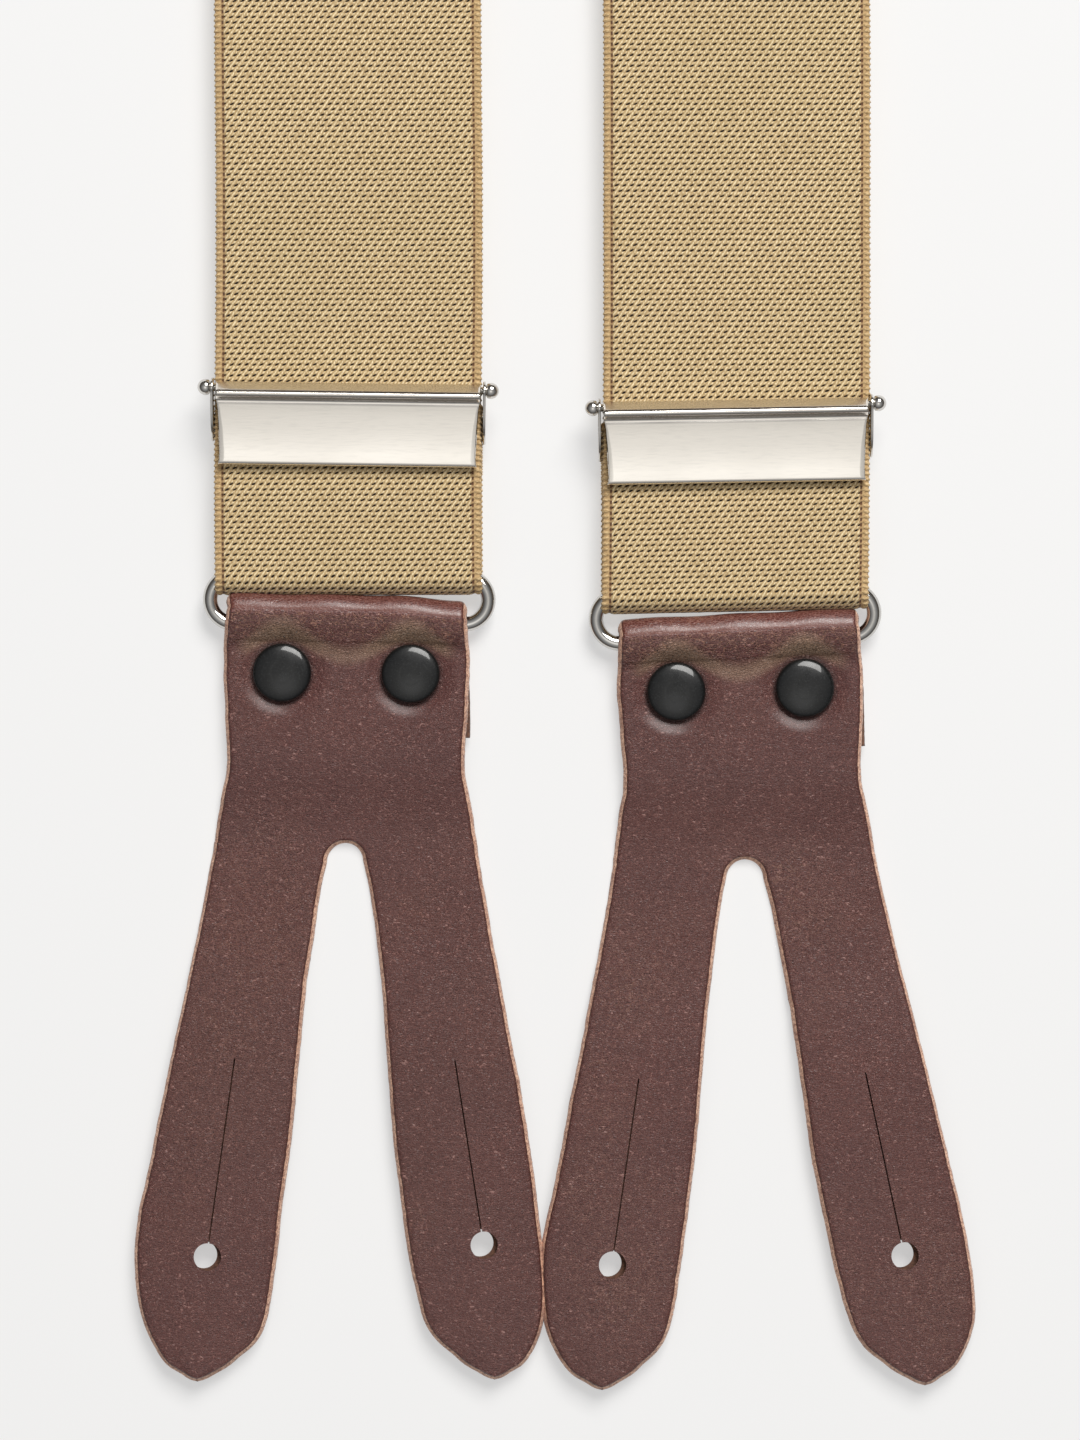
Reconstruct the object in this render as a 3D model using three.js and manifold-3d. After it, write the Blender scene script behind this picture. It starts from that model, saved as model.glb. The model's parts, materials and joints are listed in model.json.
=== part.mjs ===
// Button suspenders laid out flat at full length, face up.
// Two 50 mm elastic webs each end in a lever adjuster, a wire ring and a forked leather tab.
// Behind the shoulders both webs meet in a leather patch, and one back web runs on to the back tab.
// Millimetres. +X to the right, +Y from the front tabs to the back tab, +Z up from the table.
import * as THREE from 'three';
import { mergeVertices } from 'three/addons/utils/BufferGeometryUtils.js';
import Module from 'manifold-3d';

const wasm = await Module();
wasm.setup();

// ---- driving dimensions ----
const GAP = 0.3; // clearance between pieces that touch
const WEB = { width: 50, thick: 1.5, fold: 3.3 }; // fold: outer radius round a ring bar
const LEATHER = { thick: 1.9, fold: 3.6 };
const RING = { wire: 2.5, bars: 9.05, length: 54.2, z: 3.6 }; // bars: distance between the two bars
const TAB = { drop: 4.9, flap: 25.5, tip: 146.4 }; // drop: ring bar below the top of the fold
const HOLE = { x: 25.9, y: -122.3, dia: 5, slitTopX: 20.6, slitTopY: -86, slit: 0.6 };
const RIVET = { x: 12, y: -13.9, cap: 11, post: 3, dome: 1.5, back: 9 };
const ADJUSTER = { pinY: 34.7, pinZ: 9, lipY: 20.7, lipZ: 8.3, barY: 28, barZ: 2.7 };
const LEVER = { width: 49, tube: 3, bore: 2.2, plate: 0.9, lip: 1.6 };
const EAR = { inner: 25.3, thick: 0.6, low: 22, high: 37, top: 10.6 };
const LOOP_TOP = 46; // end of the stretch of web that runs round the ring as the adjuster moves
const RAISED_TO = 134; // the web lies on the table from a little past here
const SHOULDER = { y: 400, gap: 4 };
const PATCH = { start: 640, end: 725, halfWide: 53, halfNarrow: 29, webSplit: 664 }; // webSplit: the webs butt
const BACK_FOLD_Y = 828; // top of the back tab's fold

// Each front end hangs a little differently: tilts in degrees about +Z, spread of the legs in mm.
const SIDES = [
  { name: 'left', x: -35.6, foldY: 1.5, tabX: -0.4, ring: -0.2, tab: -0.5, lever: -0.8, spread: 0 },
  { name: 'right', x: 36.3, foldY: -1.6, tabX: 0.6, ring: 1.5, tab: 1.6, lever: 1, spread: 2.1 },
];

// ---- materials ----
const finish = (color, roughness, metalness) =>
  new THREE.MeshStandardMaterial({ color, roughness, metalness });
const ELASTIC = finish(0xc8af82, 0.9, 0);
const BROWN_LEATHER = finish(0x5f3e37, 0.6, 0);
const NICKEL = finish(0xb9b4aa, 0.25, 1);
const STEEL_WIRE = finish(0xa9a59c, 0.2, 1);
const BLACK_METAL = finish(0x25221f, 0.35, 0.8);

// ---- solids ----
function toSolid(geometry) {
  const bare = geometry.clone();
  bare.deleteAttribute('normal');
  bare.deleteAttribute('uv');
  const merged = mergeVertices(bare, 1e-4);
  const vertProperties = new Float32Array(merged.attributes.position.array);
  const triVerts = new Uint32Array(merged.index.array);
  return new wasm.Manifold(new wasm.Mesh({ numProp: 3, vertProperties, triVerts }));
}

function toGeometry(solid) {
  const mesh = solid.getMesh();
  const geometry = new THREE.BufferGeometry();
  geometry.setAttribute('position', new THREE.BufferAttribute(mesh.vertProperties, 3));
  geometry.setIndex(new THREE.BufferAttribute(mesh.triVerts, 1));
  geometry.computeVertexNormals();
  return geometry;
}

const DEEP = { low: -5, high: 25 }; // a prism that passes right through every layer

// A plan outline (x, y) as an upright prism.
function prism(shape, low = DEEP.low, high = DEEP.high) {
  const geometry = new THREE.ExtrudeGeometry(shape, { depth: high - low, bevelEnabled: false });
  return toSolid(geometry.translate(0, 0, low));
}

// A side profile (y, z) drawn out across X.
const ACROSS_X = new THREE.Matrix4().makeBasis(
  new THREE.Vector3(0, 1, 0),
  new THREE.Vector3(0, 0, 1),
  new THREE.Vector3(1, 0, 0),
);
function drawn(shape, width) {
  const geometry = new THREE.ExtrudeGeometry(shape, { depth: width, bevelEnabled: false });
  return toSolid(geometry.translate(0, 0, -width / 2).applyMatrix4(ACROSS_X));
}

function upright(radius, x, y, low, high, sides = 20) {
  const geometry = new THREE.CylinderGeometry(radius, radius, high - low, sides);
  geometry.rotateX(Math.PI / 2).translate(x, y, (low + high) / 2);
  return toSolid(geometry);
}

function crossways(radius, y, z, length, sides = 14) {
  const geometry = new THREE.CylinderGeometry(radius, radius, length, sides);
  return toSolid(geometry.rotateZ(Math.PI / 2).translate(0, y, z));
}

function box(xs, ys, zs) {
  const geometry = new THREE.BoxGeometry(xs[1] - xs[0], ys[1] - ys[0], zs[1] - zs[0]);
  geometry.translate((xs[0] + xs[1]) / 2, (ys[0] + ys[1]) / 2, (zs[0] + zs[1]) / 2);
  return toSolid(geometry);
}

const point = (y, z) => new THREE.Vector2(y, z);

function arc(y, z, radius, from, to, steps) {
  return Array.from({ length: steps + 1 }, (_, i) => {
    const angle = THREE.MathUtils.degToRad(from + ((to - from) * i) / steps);
    return point(y + radius * Math.cos(angle), z + radius * Math.sin(angle));
  });
}

// The outline of a layer of even thickness that follows a centre line.
function layer(path, thick) {
  const edge = (sign) =>
    path.map((here, i) => {
      const before = path[Math.max(i - 1, 0)];
      const after = path[Math.min(i + 1, path.length - 1)];
      const along = after.clone().sub(before).normalize();
      return here.clone().add(point(-along.y, along.x).multiplyScalar((sign * thick) / 2));
    });
  return new THREE.Shape([...edge(1), ...edge(-1).reverse()]);
}

// ---- wire ring: an oval loop, here with its first bar on the local X axis ----
const RING_BEND = RING.bars / 2;
const RING_STRAIGHT = RING.length / 2 - RING_BEND - RING.wire / 2;

function ringGeometry(extra = 0) {
  const turns = 28;
  const geometry = new THREE.TorusGeometry(RING_BEND, RING.wire / 2 + extra, 10, turns);
  geometry.rotateZ(Math.PI / turns);
  const place = geometry.attributes.position;
  for (let i = 0; i < place.count; i += 1) {
    place.setX(i, place.getX(i) + Math.sign(place.getX(i)) * RING_STRAIGHT);
  }
  return geometry.translate(0, -RING_BEND, 0);
}

// ---- forked leather tab: folded over the ring, local origin at the top of the fold ----
const LEG_EDGE = [
  [22.3, 0], [23, 14], [22.2, 30], [23.3, 37.4], [26.4, 56.2], [30, 75], [33.6, 93.6],
  [36.5, 112.3], [37.4, 124], [36.9, 134.8], [33.6, 142.3], [27.2, TAB.tip], [20, 142.3],
  [14.2, 134.8], [10.9, 112.3], [8.8, 93.6], [7.3, 75], [4.8, 56.2], [3.2, 48.8], [0, 45.7],
];

function spreadAt(depth, spread) {
  return spread * Math.pow(THREE.MathUtils.clamp((depth - 45) / 79, 0, 1.1), 1.3);
}

function tabOutline(spread) {
  const knots = LEG_EDGE.map(([x, depth]) => point(x + spreadAt(depth, spread), -depth));
  const right = new THREE.SplineCurve(knots).getPoints(44);
  right[right.length - 1].x = 0;
  const left = right.slice(0, -1).map((p) => point(-p.x, p.y)).reverse();
  return new THREE.Shape([...right, ...left]);
}

function tabProfile() {
  const t = LEATHER.thick;
  const r = LEATHER.fold - t / 2;
  const flap = 0.7 + t / 2;
  const front = flap + t + GAP;
  const low = t / 2;
  const raised = 3 + t / 2;
  return layer(
    [
      point(-TAB.flap, flap),
      point(-10.5, flap),
      point(-6.2, RING.z - r),
      ...arc(-LEATHER.fold, RING.z, r, 270, 450, 10),
      point(-5.6, RING.z + r),
      point(-9.8, front),
      point(-27, front),
      point(-44, low),
      point(-56, low),
      point(-80, raised),
      point(-TAB.tip - 4, raised),
    ],
    t,
  );
}

// A round button hole with a long slit above it that lets the button through.
function buttonHole(sign, spread) {
  const hole = point(sign * (HOLE.x + spreadAt(-HOLE.y, spread)), HOLE.y);
  const top = point(sign * (HOLE.slitTopX + spreadAt(-HOLE.slitTopY, spread)), HOLE.slitTopY);
  const along = top.clone().sub(hole);
  const slit = new THREE.BoxGeometry(HOLE.slit, along.length(), DEEP.high - DEEP.low);
  slit.rotateZ(along.angle() - Math.PI / 2);
  slit.translate((hole.x + top.x) / 2, (hole.y + top.y) / 2, 0);
  return upright(HOLE.dia / 2, hole.x, hole.y, DEEP.low, DEEP.high).add(toSolid(slit));
}

const FRONT_TOP = 0.7 + LEATHER.thick * 2 + GAP; // upper face of the leather at the rivets

function tabGeometry(spread) {
  let tab = prism(tabOutline(spread)).intersect(drawn(tabProfile(), 100));
  for (const sign of [-1, 1]) {
    tab = tab
      .subtract(buttonHole(sign, spread))
      .subtract(upright(RIVET.post / 2 + GAP, sign * RIVET.x, RIVET.y, DEEP.low, DEEP.high, 12))
      .subtract(upright(RIVET.cap / 2 + GAP, sign * RIVET.x, RIVET.y, FRONT_TOP, DEEP.high));
  }
  return toGeometry(tab);
}

// ---- rivets: domed cap with its post, and the flat back plate under the leather ----
function rivetCapGeometry() {
  const seat = FRONT_TOP + GAP;
  const profile = [
    point(0, 0.7 + GAP),
    point(RIVET.post / 2, 0.7 + GAP),
    point(RIVET.post / 2, seat),
    point(RIVET.cap / 2, seat),
    point(RIVET.cap / 2, seat + 0.5),
    point(RIVET.cap / 2 - 0.6, seat + 0.9),
    point(RIVET.cap / 4, seat + RIVET.dome - 0.2),
    point(0, seat + RIVET.dome),
  ];
  return new THREE.LatheGeometry(profile, 20).rotateX(Math.PI / 2);
}

function rivetBackGeometry() {
  const profile = [point(0, 0), point(RIVET.back / 2, 0), point(RIVET.back / 2 - 0.3, 0.4), point(0, 0.4)];
  return new THREE.LatheGeometry(profile, 20).rotateX(Math.PI / 2);
}

// ---- adjuster: local Y is measured from the ring's upper bar, Z from the table ----
function frameGeometry() {
  const bar = box(
    [-EAR.inner - GAP, EAR.inner + GAP],
    [ADJUSTER.barY - 2.5, ADJUSTER.barY + 2.2],
    [ADJUSTER.barZ - 0.6, ADJUSTER.barZ + 0.6],
  );
  const side = new THREE.Shape([
    point(EAR.low + 2, ADJUSTER.barZ - 0.6),
    point(EAR.high - 3, ADJUSTER.barZ - 0.6),
    point(EAR.high, 6),
    ...arc(ADJUSTER.pinY, ADJUSTER.pinZ, EAR.top - ADJUSTER.pinZ, 0, 180, 8),
    point(EAR.low, 6),
  ]);
  const ears = drawn(side, 2 * (EAR.inner + EAR.thick)).subtract(
    box([-EAR.inner, EAR.inner], [0, 60], [DEEP.low, DEEP.high]),
  );
  const pinHole = crossways(1.1, ADJUSTER.pinY, ADJUSTER.pinZ, 80);
  return toGeometry(ears.add(bar).subtract(pinHole));
}

function pinGeometry() {
  const shoulder = EAR.inner + EAR.thick + GAP;
  const ball = { radius: 1.3, x: shoulder + 0.4 };
  const end = (from, to, sign) =>
    arc(0, 0, ball.radius, from, to, 6).map((p) => point(p.x, sign * ball.x + p.y));
  const profile = [
    point(0, -ball.x - ball.radius),
    ...end(-75, 15, -1),
    point(0.8, -shoulder),
    point(0.8, shoulder),
    ...end(-15, 75, 1),
    point(0, ball.x + ball.radius),
  ];
  return new THREE.LatheGeometry(profile, 14).rotateZ(-Math.PI / 2);
}

// The rolled tube turns on the pin, and the plate lies over the web with its teeth on the web.
function leverGeometry() {
  const { pinY, pinZ, lipY, lipZ } = ADJUSTER;
  const plate = drawn(layer([point(pinY - 1, pinZ + 0.4), point(lipY + 0.6, lipZ)], LEVER.plate), LEVER.width);
  const lip = crossways(LEVER.lip / 2, lipY + 0.8, lipZ, LEVER.width - 1.5);
  const webTop = RING.z + WEB.fold;
  const teeth = box([-22, 22], [pinY - 4.2, pinY - 3.2], [webTop + GAP, pinZ]);
  return toGeometry(
    crossways(LEVER.tube / 2, pinY, pinZ, LEVER.width)
      .add(plate)
      .add(lip)
      .add(teeth)
      .subtract(crossways(LEVER.bore / 2, pinY, pinZ, 80))
      .translate(0, -pinY, -pinZ),
  );
}

// ---- webs ----
const WEB_FRONT_Z = RING.z + WEB.fold - WEB.thick / 2;
const WEB_REAR_Z = RING.z - WEB.fold + WEB.thick / 2;
const ON_TABLE_Z = WEB.thick / 2;
const IN_PATCH_Z = LEATHER.thick + GAP + WEB.thick / 2;

// Down the front, round the ring's upper bar, up behind and round the adjuster's rear bar.
function webLoop(ringTilt) {
  const turn = WEB.fold - WEB.thick / 2;
  const wrap = 1.65;
  const loop = drawn(
    layer(
      [
        point(LOOP_TOP, WEB_FRONT_Z),
        ...arc(0, RING.z, turn, 90, 270, 10),
        ...arc(ADJUSTER.barY + 2, ADJUSTER.barZ, wrap, -90, 90, 8),
        point(ADJUSTER.barY - 9, ADJUSTER.barZ + wrap),
      ],
      WEB.thick,
    ),
    WEB.width,
  );
  const ring = ringGeometry(GAP).rotateZ(ringTilt).translate(0, 0, RING.z);
  return toGeometry(loop.subtract(toSolid(ring)));
}

function webUpper(start) {
  const path = [
    point(start, WEB_FRONT_Z),
    point(RAISED_TO, WEB_FRONT_Z),
    point(RAISED_TO + 36, ON_TABLE_Z),
    point(SHOULDER.y - SHOULDER.gap, ON_TABLE_Z),
  ];
  return toGeometry(drawn(layer(path, WEB.thick), WEB.width));
}

// From the shoulder to the patch the web drifts inwards until the two webs lie side by side.
function webRear(side) {
  const start = SHOULDER.y + SHOULDER.gap;
  const end = PATCH.webSplit - GAP;
  const endX = Math.sign(side.x) * (WEB.width / 2 + 0.4);
  const steps = 16;
  const centre = Array.from({ length: steps + 1 }, (_, i) => {
    const share = i / steps;
    const eased = THREE.MathUtils.smootherstep(share, 0, 0.85);
    return point(THREE.MathUtils.lerp(side.x, endX, eased), THREE.MathUtils.lerp(start, end, share));
  });
  const edge = (sign) => centre.map((p) => point(p.x + (sign * WEB.width) / 2, p.y));
  const profile = [
    point(start, ON_TABLE_Z),
    point(PATCH.start - 45, ON_TABLE_Z),
    point(PATCH.start - 8, IN_PATCH_Z),
    point(end, IN_PATCH_Z),
  ];
  const plan = prism(new THREE.Shape([...edge(1), ...edge(-1).reverse()]));
  return toGeometry(plan.intersect(drawn(layer(profile, WEB.thick), 200)));
}

const BACK_RING_Y = BACK_FOLD_Y - TAB.drop - RING.bars; // the bar that the back web goes round
const BACK_LOOP_START = BACK_RING_Y - 14;

function backWeb() {
  const path = [point(PATCH.webSplit + GAP, IN_PATCH_Z), point(BACK_LOOP_START - GAP, IN_PATCH_Z)];
  return toGeometry(drawn(layer(path, WEB.thick), WEB.width));
}

function backLoop() {
  const turn = WEB.fold - WEB.thick / 2;
  const path = [
    point(BACK_LOOP_START, IN_PATCH_Z),
    point(BACK_LOOP_START + 3, IN_PATCH_Z),
    point(BACK_RING_Y - 2.5, WEB_FRONT_Z),
    ...arc(BACK_RING_Y, RING.z, turn, 90, -90, 10),
    point(BACK_RING_Y - 36, WEB_REAR_Z),
  ];
  const ring = ringGeometry(GAP).rotateZ(Math.PI).translate(0, BACK_RING_Y, RING.z);
  return toGeometry(drawn(layer(path, WEB.thick), WEB.width).subtract(toSolid(ring)));
}

// ---- back patch: two shield-shaped leathers with the web ends sewn between them ----
function patchLeather(low) {
  const { start, end, halfWide, halfNarrow } = PATCH;
  const shape = new THREE.Shape();
  shape.moveTo(-halfWide, start);
  shape.quadraticCurveTo(0, start + 14, halfWide, start);
  shape.lineTo(halfWide, start + 26);
  shape.quadraticCurveTo(halfNarrow + 3, start + 45, halfNarrow, end - 6);
  shape.quadraticCurveTo(halfNarrow, end, halfNarrow - 6, end);
  shape.lineTo(6 - halfNarrow, end);
  shape.quadraticCurveTo(-halfNarrow, end, -halfNarrow, end - 6);
  shape.quadraticCurveTo(-halfNarrow - 3, start + 45, -halfWide, start + 26);
  return toGeometry(prism(shape, low, low + LEATHER.thick));
}

// ---- assembly ----
const suspenders = new THREE.Group();

function piece(parent, name, geometry, material) {
  const mesh = new THREE.Mesh(geometry, material);
  mesh.name = name;
  parent.add(mesh);
  return mesh;
}

function hung(parent, x, y, z, tilt = 0) {
  const group = new THREE.Group();
  group.position.set(x, y, z);
  group.rotation.z = THREE.MathUtils.degToRad(tilt);
  parent.add(group);
  return group;
}

// A ring and its tab hang from a group at the ring's first bar, at table height.
function ringAndTab(parent, name, { ring = 0, tab = 0, tabX = 0, spread = 0 }) {
  const ringPlace = hung(parent, 0, 0, 0, ring);
  piece(ringPlace, `${name}_ring`, ringGeometry(), STEEL_WIRE).position.z = RING.z;
  const tabPlace = hung(ringPlace, tabX, TAB.drop - RING.bars, 0, tab - ring);
  piece(tabPlace, `${name}_tab`, tabGeometry(spread), BROWN_LEATHER);
  for (const [hand, sign] of [['a', -1], ['b', 1]]) {
    const cap = piece(tabPlace, `${name}_rivet_cap_${hand}`, rivetCapGeometry(), BLACK_METAL);
    const back = piece(tabPlace, `${name}_rivet_back_${hand}`, rivetBackGeometry(), BLACK_METAL);
    cap.position.set(sign * RIVET.x, RIVET.y, 0);
    back.position.set(sign * RIVET.x, RIVET.y, 0);
  }
}

for (const side of SIDES) {
  const ringY = side.foldY - TAB.drop + RING.bars;
  const end = hung(suspenders, side.x, ringY, 0);
  ringAndTab(end, side.name, side);
  piece(end, `${side.name}_web_loop`, webLoop(THREE.MathUtils.degToRad(side.ring)), ELASTIC);
  const strap = hung(suspenders, side.x, 0, 0);
  piece(strap, `${side.name}_web_front`, webUpper(ringY + LOOP_TOP + GAP), ELASTIC);
  piece(suspenders, `${side.name}_web_rear`, webRear(side), ELASTIC);
  const pinPlace = hung(end, 0, ADJUSTER.pinY, ADJUSTER.pinZ, side.lever);
  const frame = piece(pinPlace, `${side.name}_adjuster_frame`, frameGeometry(), NICKEL);
  frame.position.set(0, -ADJUSTER.pinY, -ADJUSTER.pinZ);
  piece(pinPlace, `${side.name}_adjuster_pin`, pinGeometry(), NICKEL);
  piece(pinPlace, `${side.name}_adjuster_lever`, leverGeometry(), NICKEL);
}

piece(suspenders, 'back_patch_top', patchLeather(LEATHER.thick + WEB.thick + 2 * GAP), BROWN_LEATHER);
piece(suspenders, 'back_patch_bottom', patchLeather(0), BROWN_LEATHER);
piece(suspenders, 'back_web', backWeb(), ELASTIC);
piece(suspenders, 'back_web_loop', backLoop(), ELASTIC);
const backEnd = hung(suspenders, 0, BACK_RING_Y, 0, 180);
ringAndTab(backEnd, 'back', {});

// The origin is on the table, at the middle of the whole length and width.
const extent = new THREE.Box3().setFromObject(suspenders, true);
const middle = extent.getCenter(new THREE.Vector3());
suspenders.position.set(-middle.x, -middle.y, -extent.min.z);

export default new THREE.Group().add(suspenders);
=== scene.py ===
import json
import math

import bmesh
import bpy
import numpy as np
from mathutils import Matrix, Vector


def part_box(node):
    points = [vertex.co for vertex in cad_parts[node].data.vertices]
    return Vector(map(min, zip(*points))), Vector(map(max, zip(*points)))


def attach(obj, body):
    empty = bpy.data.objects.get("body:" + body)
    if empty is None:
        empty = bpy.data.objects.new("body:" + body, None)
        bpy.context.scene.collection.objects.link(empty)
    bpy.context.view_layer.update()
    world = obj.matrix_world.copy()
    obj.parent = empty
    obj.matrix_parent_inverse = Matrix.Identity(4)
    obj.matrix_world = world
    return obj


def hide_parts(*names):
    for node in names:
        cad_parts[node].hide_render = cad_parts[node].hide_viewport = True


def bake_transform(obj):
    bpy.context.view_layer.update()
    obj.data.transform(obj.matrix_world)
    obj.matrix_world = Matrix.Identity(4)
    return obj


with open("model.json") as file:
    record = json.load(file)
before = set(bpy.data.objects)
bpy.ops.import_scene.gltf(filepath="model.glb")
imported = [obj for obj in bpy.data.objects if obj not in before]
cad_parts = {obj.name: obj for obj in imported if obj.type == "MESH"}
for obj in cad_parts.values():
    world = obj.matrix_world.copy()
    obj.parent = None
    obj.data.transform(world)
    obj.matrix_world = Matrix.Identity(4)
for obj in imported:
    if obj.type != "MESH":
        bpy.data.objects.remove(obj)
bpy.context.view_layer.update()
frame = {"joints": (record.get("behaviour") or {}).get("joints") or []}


# ---- Table, light and camera ----
# The suspenders lie face up on a plain pale table that glows a little, as a light table does,
# seen from straight above through a long lens. One soft light stands beyond the top of the view.
MM = 0.001
scene = bpy.context.scene
joints = {joint["name"]: joint for joint in frame["joints"]}


def ring_place(side):
    """Where a ring's web bar lies, and how far that ring is turned on the table."""
    swing = joints[f"{side}_ring_swing"]
    across = -Vector(swing["axis"]) if side != "back" else Vector(swing["axis"])
    return Vector(swing["pos_m"]), math.atan2(across.y, across.x)


left_ring, left_turn = ring_place("left")
right_ring, right_turn = ring_place("right")

VIEW_SHIFT = Vector((-0.35, -25.2, 0)) * MM
CAMERA_HEIGHT = 0.9
view_centre = (left_ring + right_ring) / 2 + VIEW_SHIFT

camera_data = bpy.data.cameras.new("camera")
camera_data.sensor_width = 36
camera_data.lens = 120
camera_data.clip_start = 0.01
camera = bpy.data.objects.new("camera", camera_data)
camera.location = (view_centre.x, view_centre.y, CAMERA_HEIGHT)
scene.collection.objects.link(camera)
scene.camera = camera

scene.view_settings.view_transform = "Standard"
scene.view_settings.look = "None"


WINDOW_OFFSET, WINDOW_SIZE, WINDOW_WATTS = Vector((0.55, 1.5, 1.9)), (1.3, 1.25), 61
window = bpy.data.lights.new("window", "AREA")
window.shape = "RECTANGLE"
window.size, window.size_y = WINDOW_SIZE
window.energy = WINDOW_WATTS
window.color = (1, 0.985, 0.96)
lamp = bpy.data.objects.new("window", window)
target = Vector((view_centre.x, view_centre.y, 0))
lamp.location = target + WINDOW_OFFSET
lamp.rotation_euler = (target - lamp.location).to_track_quat("-Z", "Y").to_euler()
scene.collection.objects.link(lamp)


class Nodes:
    """Short ways to add nodes to a tree and join them."""

    def __init__(self, tree):
        self.tree = tree

    def add(self, kind, given=None, **settings):
        node = self.tree.nodes.new(kind)
        for key, value in settings.items():
            setattr(node, key, value)
        for socket, value in (given or {}).items():
            self.wire(value, node.inputs[socket])
        return node

    def wire(self, value, socket):
        if isinstance(value, bpy.types.NodeSocket):
            self.tree.links.new(value, socket)
        else:
            socket.default_value = (*value, 1) if socket.type == "RGBA" else value

    def math(self, operation, *values):
        return self.add("ShaderNodeMath", dict(enumerate(values)), operation=operation).outputs[0]

    def plus(self, first, second):
        return self.math("ADD", first, second)

    def minus(self, first, second):
        return self.math("SUBTRACT", first, second)

    def times(self, first, second):
        return self.math("MULTIPLY", first, second)

    def apart(self, first, second):
        return self.math("ABSOLUTE", self.minus(first, second))

    def ramp(self, value, low, high, to_low=0.0, to_high=1.0):
        given = {"Value": value, "From Min": low, "From Max": high, "To Min": to_low, "To Max": to_high}
        return self.add("ShaderNodeMapRange", given, interpolation_type="SMOOTHSTEP").outputs["Result"]

    def mix(self, share, first, second):
        return self.add("ShaderNodeMix", {0: share, 6: first, 7: second}, data_type="RGBA").outputs[2]

    def mapped(self, scale=(1, 1, 1), turn=0.0, place=(0, 0, 0)):
        where = self.add("ShaderNodeTexCoord").outputs["Object"]
        given = {"Vector": where, "Location": place, "Rotation": (0, 0, turn), "Scale": scale}
        return self.add("ShaderNodeMapping", given).outputs[0]

    def pattern(self, layer="pattern"):
        """The two measures that this layer gives each place on the surface."""
        where = self.add("ShaderNodeUVMap", uv_map=layer).outputs[0]
        return self.add("ShaderNodeSeparateXYZ", {0: where}).outputs[:2]

    def noise(self, vector, scale, detail=3.0, roughness=0.5, distortion=0.0):
        given = {"Vector": vector, "Scale": scale, "Detail": detail, "Roughness": roughness}
        return self.add("ShaderNodeTexNoise", {**given, "Distortion": distortion}).outputs["Fac"]

    def bump(self, height, distance, strength=1.0, onto=None):
        given = {"Height": height, "Distance": distance, "Strength": strength}
        if onto is not None:
            given["Normal"] = onto
        return self.add("ShaderNodeBump", given).outputs["Normal"]


# The room is bright overhead, a little towards the lower end of the suspenders, and dark towards
# its walls.
ROOM = (  # how high, and the colour there
    (0.0, (0.07, 0.06, 0.055)), (0.3, (0.1, 0.09, 0.08)), (0.6, (0.17, 0.17, 0.17)),
    (0.85, (0.34, 0.34, 0.345)), (0.94, (0.5, 0.49, 0.48)), (0.97, (0.64, 0.63, 0.61)),
    (0.99, (0.96, 0.95, 0.93)), (1.0, (1.12, 1.11, 1.09)),
)
ROOM_STRENGTH = 1.1
BRIGHT_LEAN = math.radians(12)
world = bpy.data.worlds.new("room")
world.use_nodes = True
sky = Nodes(world.node_tree)
direction = sky.add("ShaderNodeSeparateXYZ", {0: sky.add("ShaderNodeTexCoord").outputs["Generated"]})
upright = sky.times(direction.outputs["Z"], math.cos(BRIGHT_LEAN))
sideways = sky.times(direction.outputs["Y"], -math.sin(BRIGHT_LEAN))
heights = sky.add("ShaderNodeValToRGB", {0: sky.plus(upright, sideways)})
while len(heights.color_ramp.elements) < len(ROOM):
    heights.color_ramp.elements.new(0.5)
for element, (height, colour) in zip(heights.color_ramp.elements, ROOM):
    element.position = height
    element.color = (*colour, 1)
background = world.node_tree.nodes["Background"]
sky.wire(heights.outputs[0], background.inputs["Color"])
background.inputs["Strength"].default_value = ROOM_STRENGTH
scene.world = world


def new_material(name, colour, roughness, metallic=0.0, **constants):
    """A material whose shader holds these constants, with its nodes and its shader's sockets."""
    material = bpy.data.materials.new(name)
    material.use_nodes = True
    sockets = material.node_tree.nodes["Principled BSDF"].inputs
    sockets["Base Color"].default_value = (*colour, 1)
    sockets["Roughness"].default_value = roughness
    sockets["Metallic"].default_value = metallic
    for socket, value in constants.items():
        sockets[socket.replace("_", " ")].default_value = value
    return material, Nodes(material.node_tree), sockets


def add_mesh(name, verts, faces, materials, smooth=True, pattern=None):
    """A piece whose place is in its mesh. The pattern gives each vertex its place on the surface."""
    mesh = bpy.data.meshes.new(name)
    mesh.from_pydata([tuple(v) for v in verts], [], [tuple(f) for f in faces])
    for material in materials:
        mesh.materials.append(material)
    mesh.polygons.foreach_set("use_smooth", [smooth] * len(mesh.polygons))
    if pattern is not None:
        corners = np.empty(len(mesh.loops), int)
        mesh.loops.foreach_get("vertex_index", corners)
        at_corners = np.asarray(pattern, float)[corners]
        for i, label in enumerate(("pattern", "pattern_more")[: at_corners.shape[1] // 2]):
            layer = mesh.uv_layers.new(name=label)
            layer.data.foreach_set("uv", at_corners[:, 2 * i : 2 * i + 2].ravel())
    mesh.update()
    piece = bpy.data.objects.new(name, mesh)
    scene.collection.objects.link(piece)
    return piece


TABLE_GLOW = 0.48
table_paint, _, _ = new_material(
    "table_paint", (0.4, 0.4, 0.4), 0.75, Emission_Color=(1, 1, 1, 1), Emission_Strength=TABLE_GLOW
)
TABLE_SIZE = 12
table = add_mesh(
    "table",
    [(x * TABLE_SIZE, y * TABLE_SIZE, 0) for x, y in ((-1, -1), (1, -1), (1, 1), (-1, 1))],
    [(0, 1, 2, 3)],
    [table_paint],
)


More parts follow.
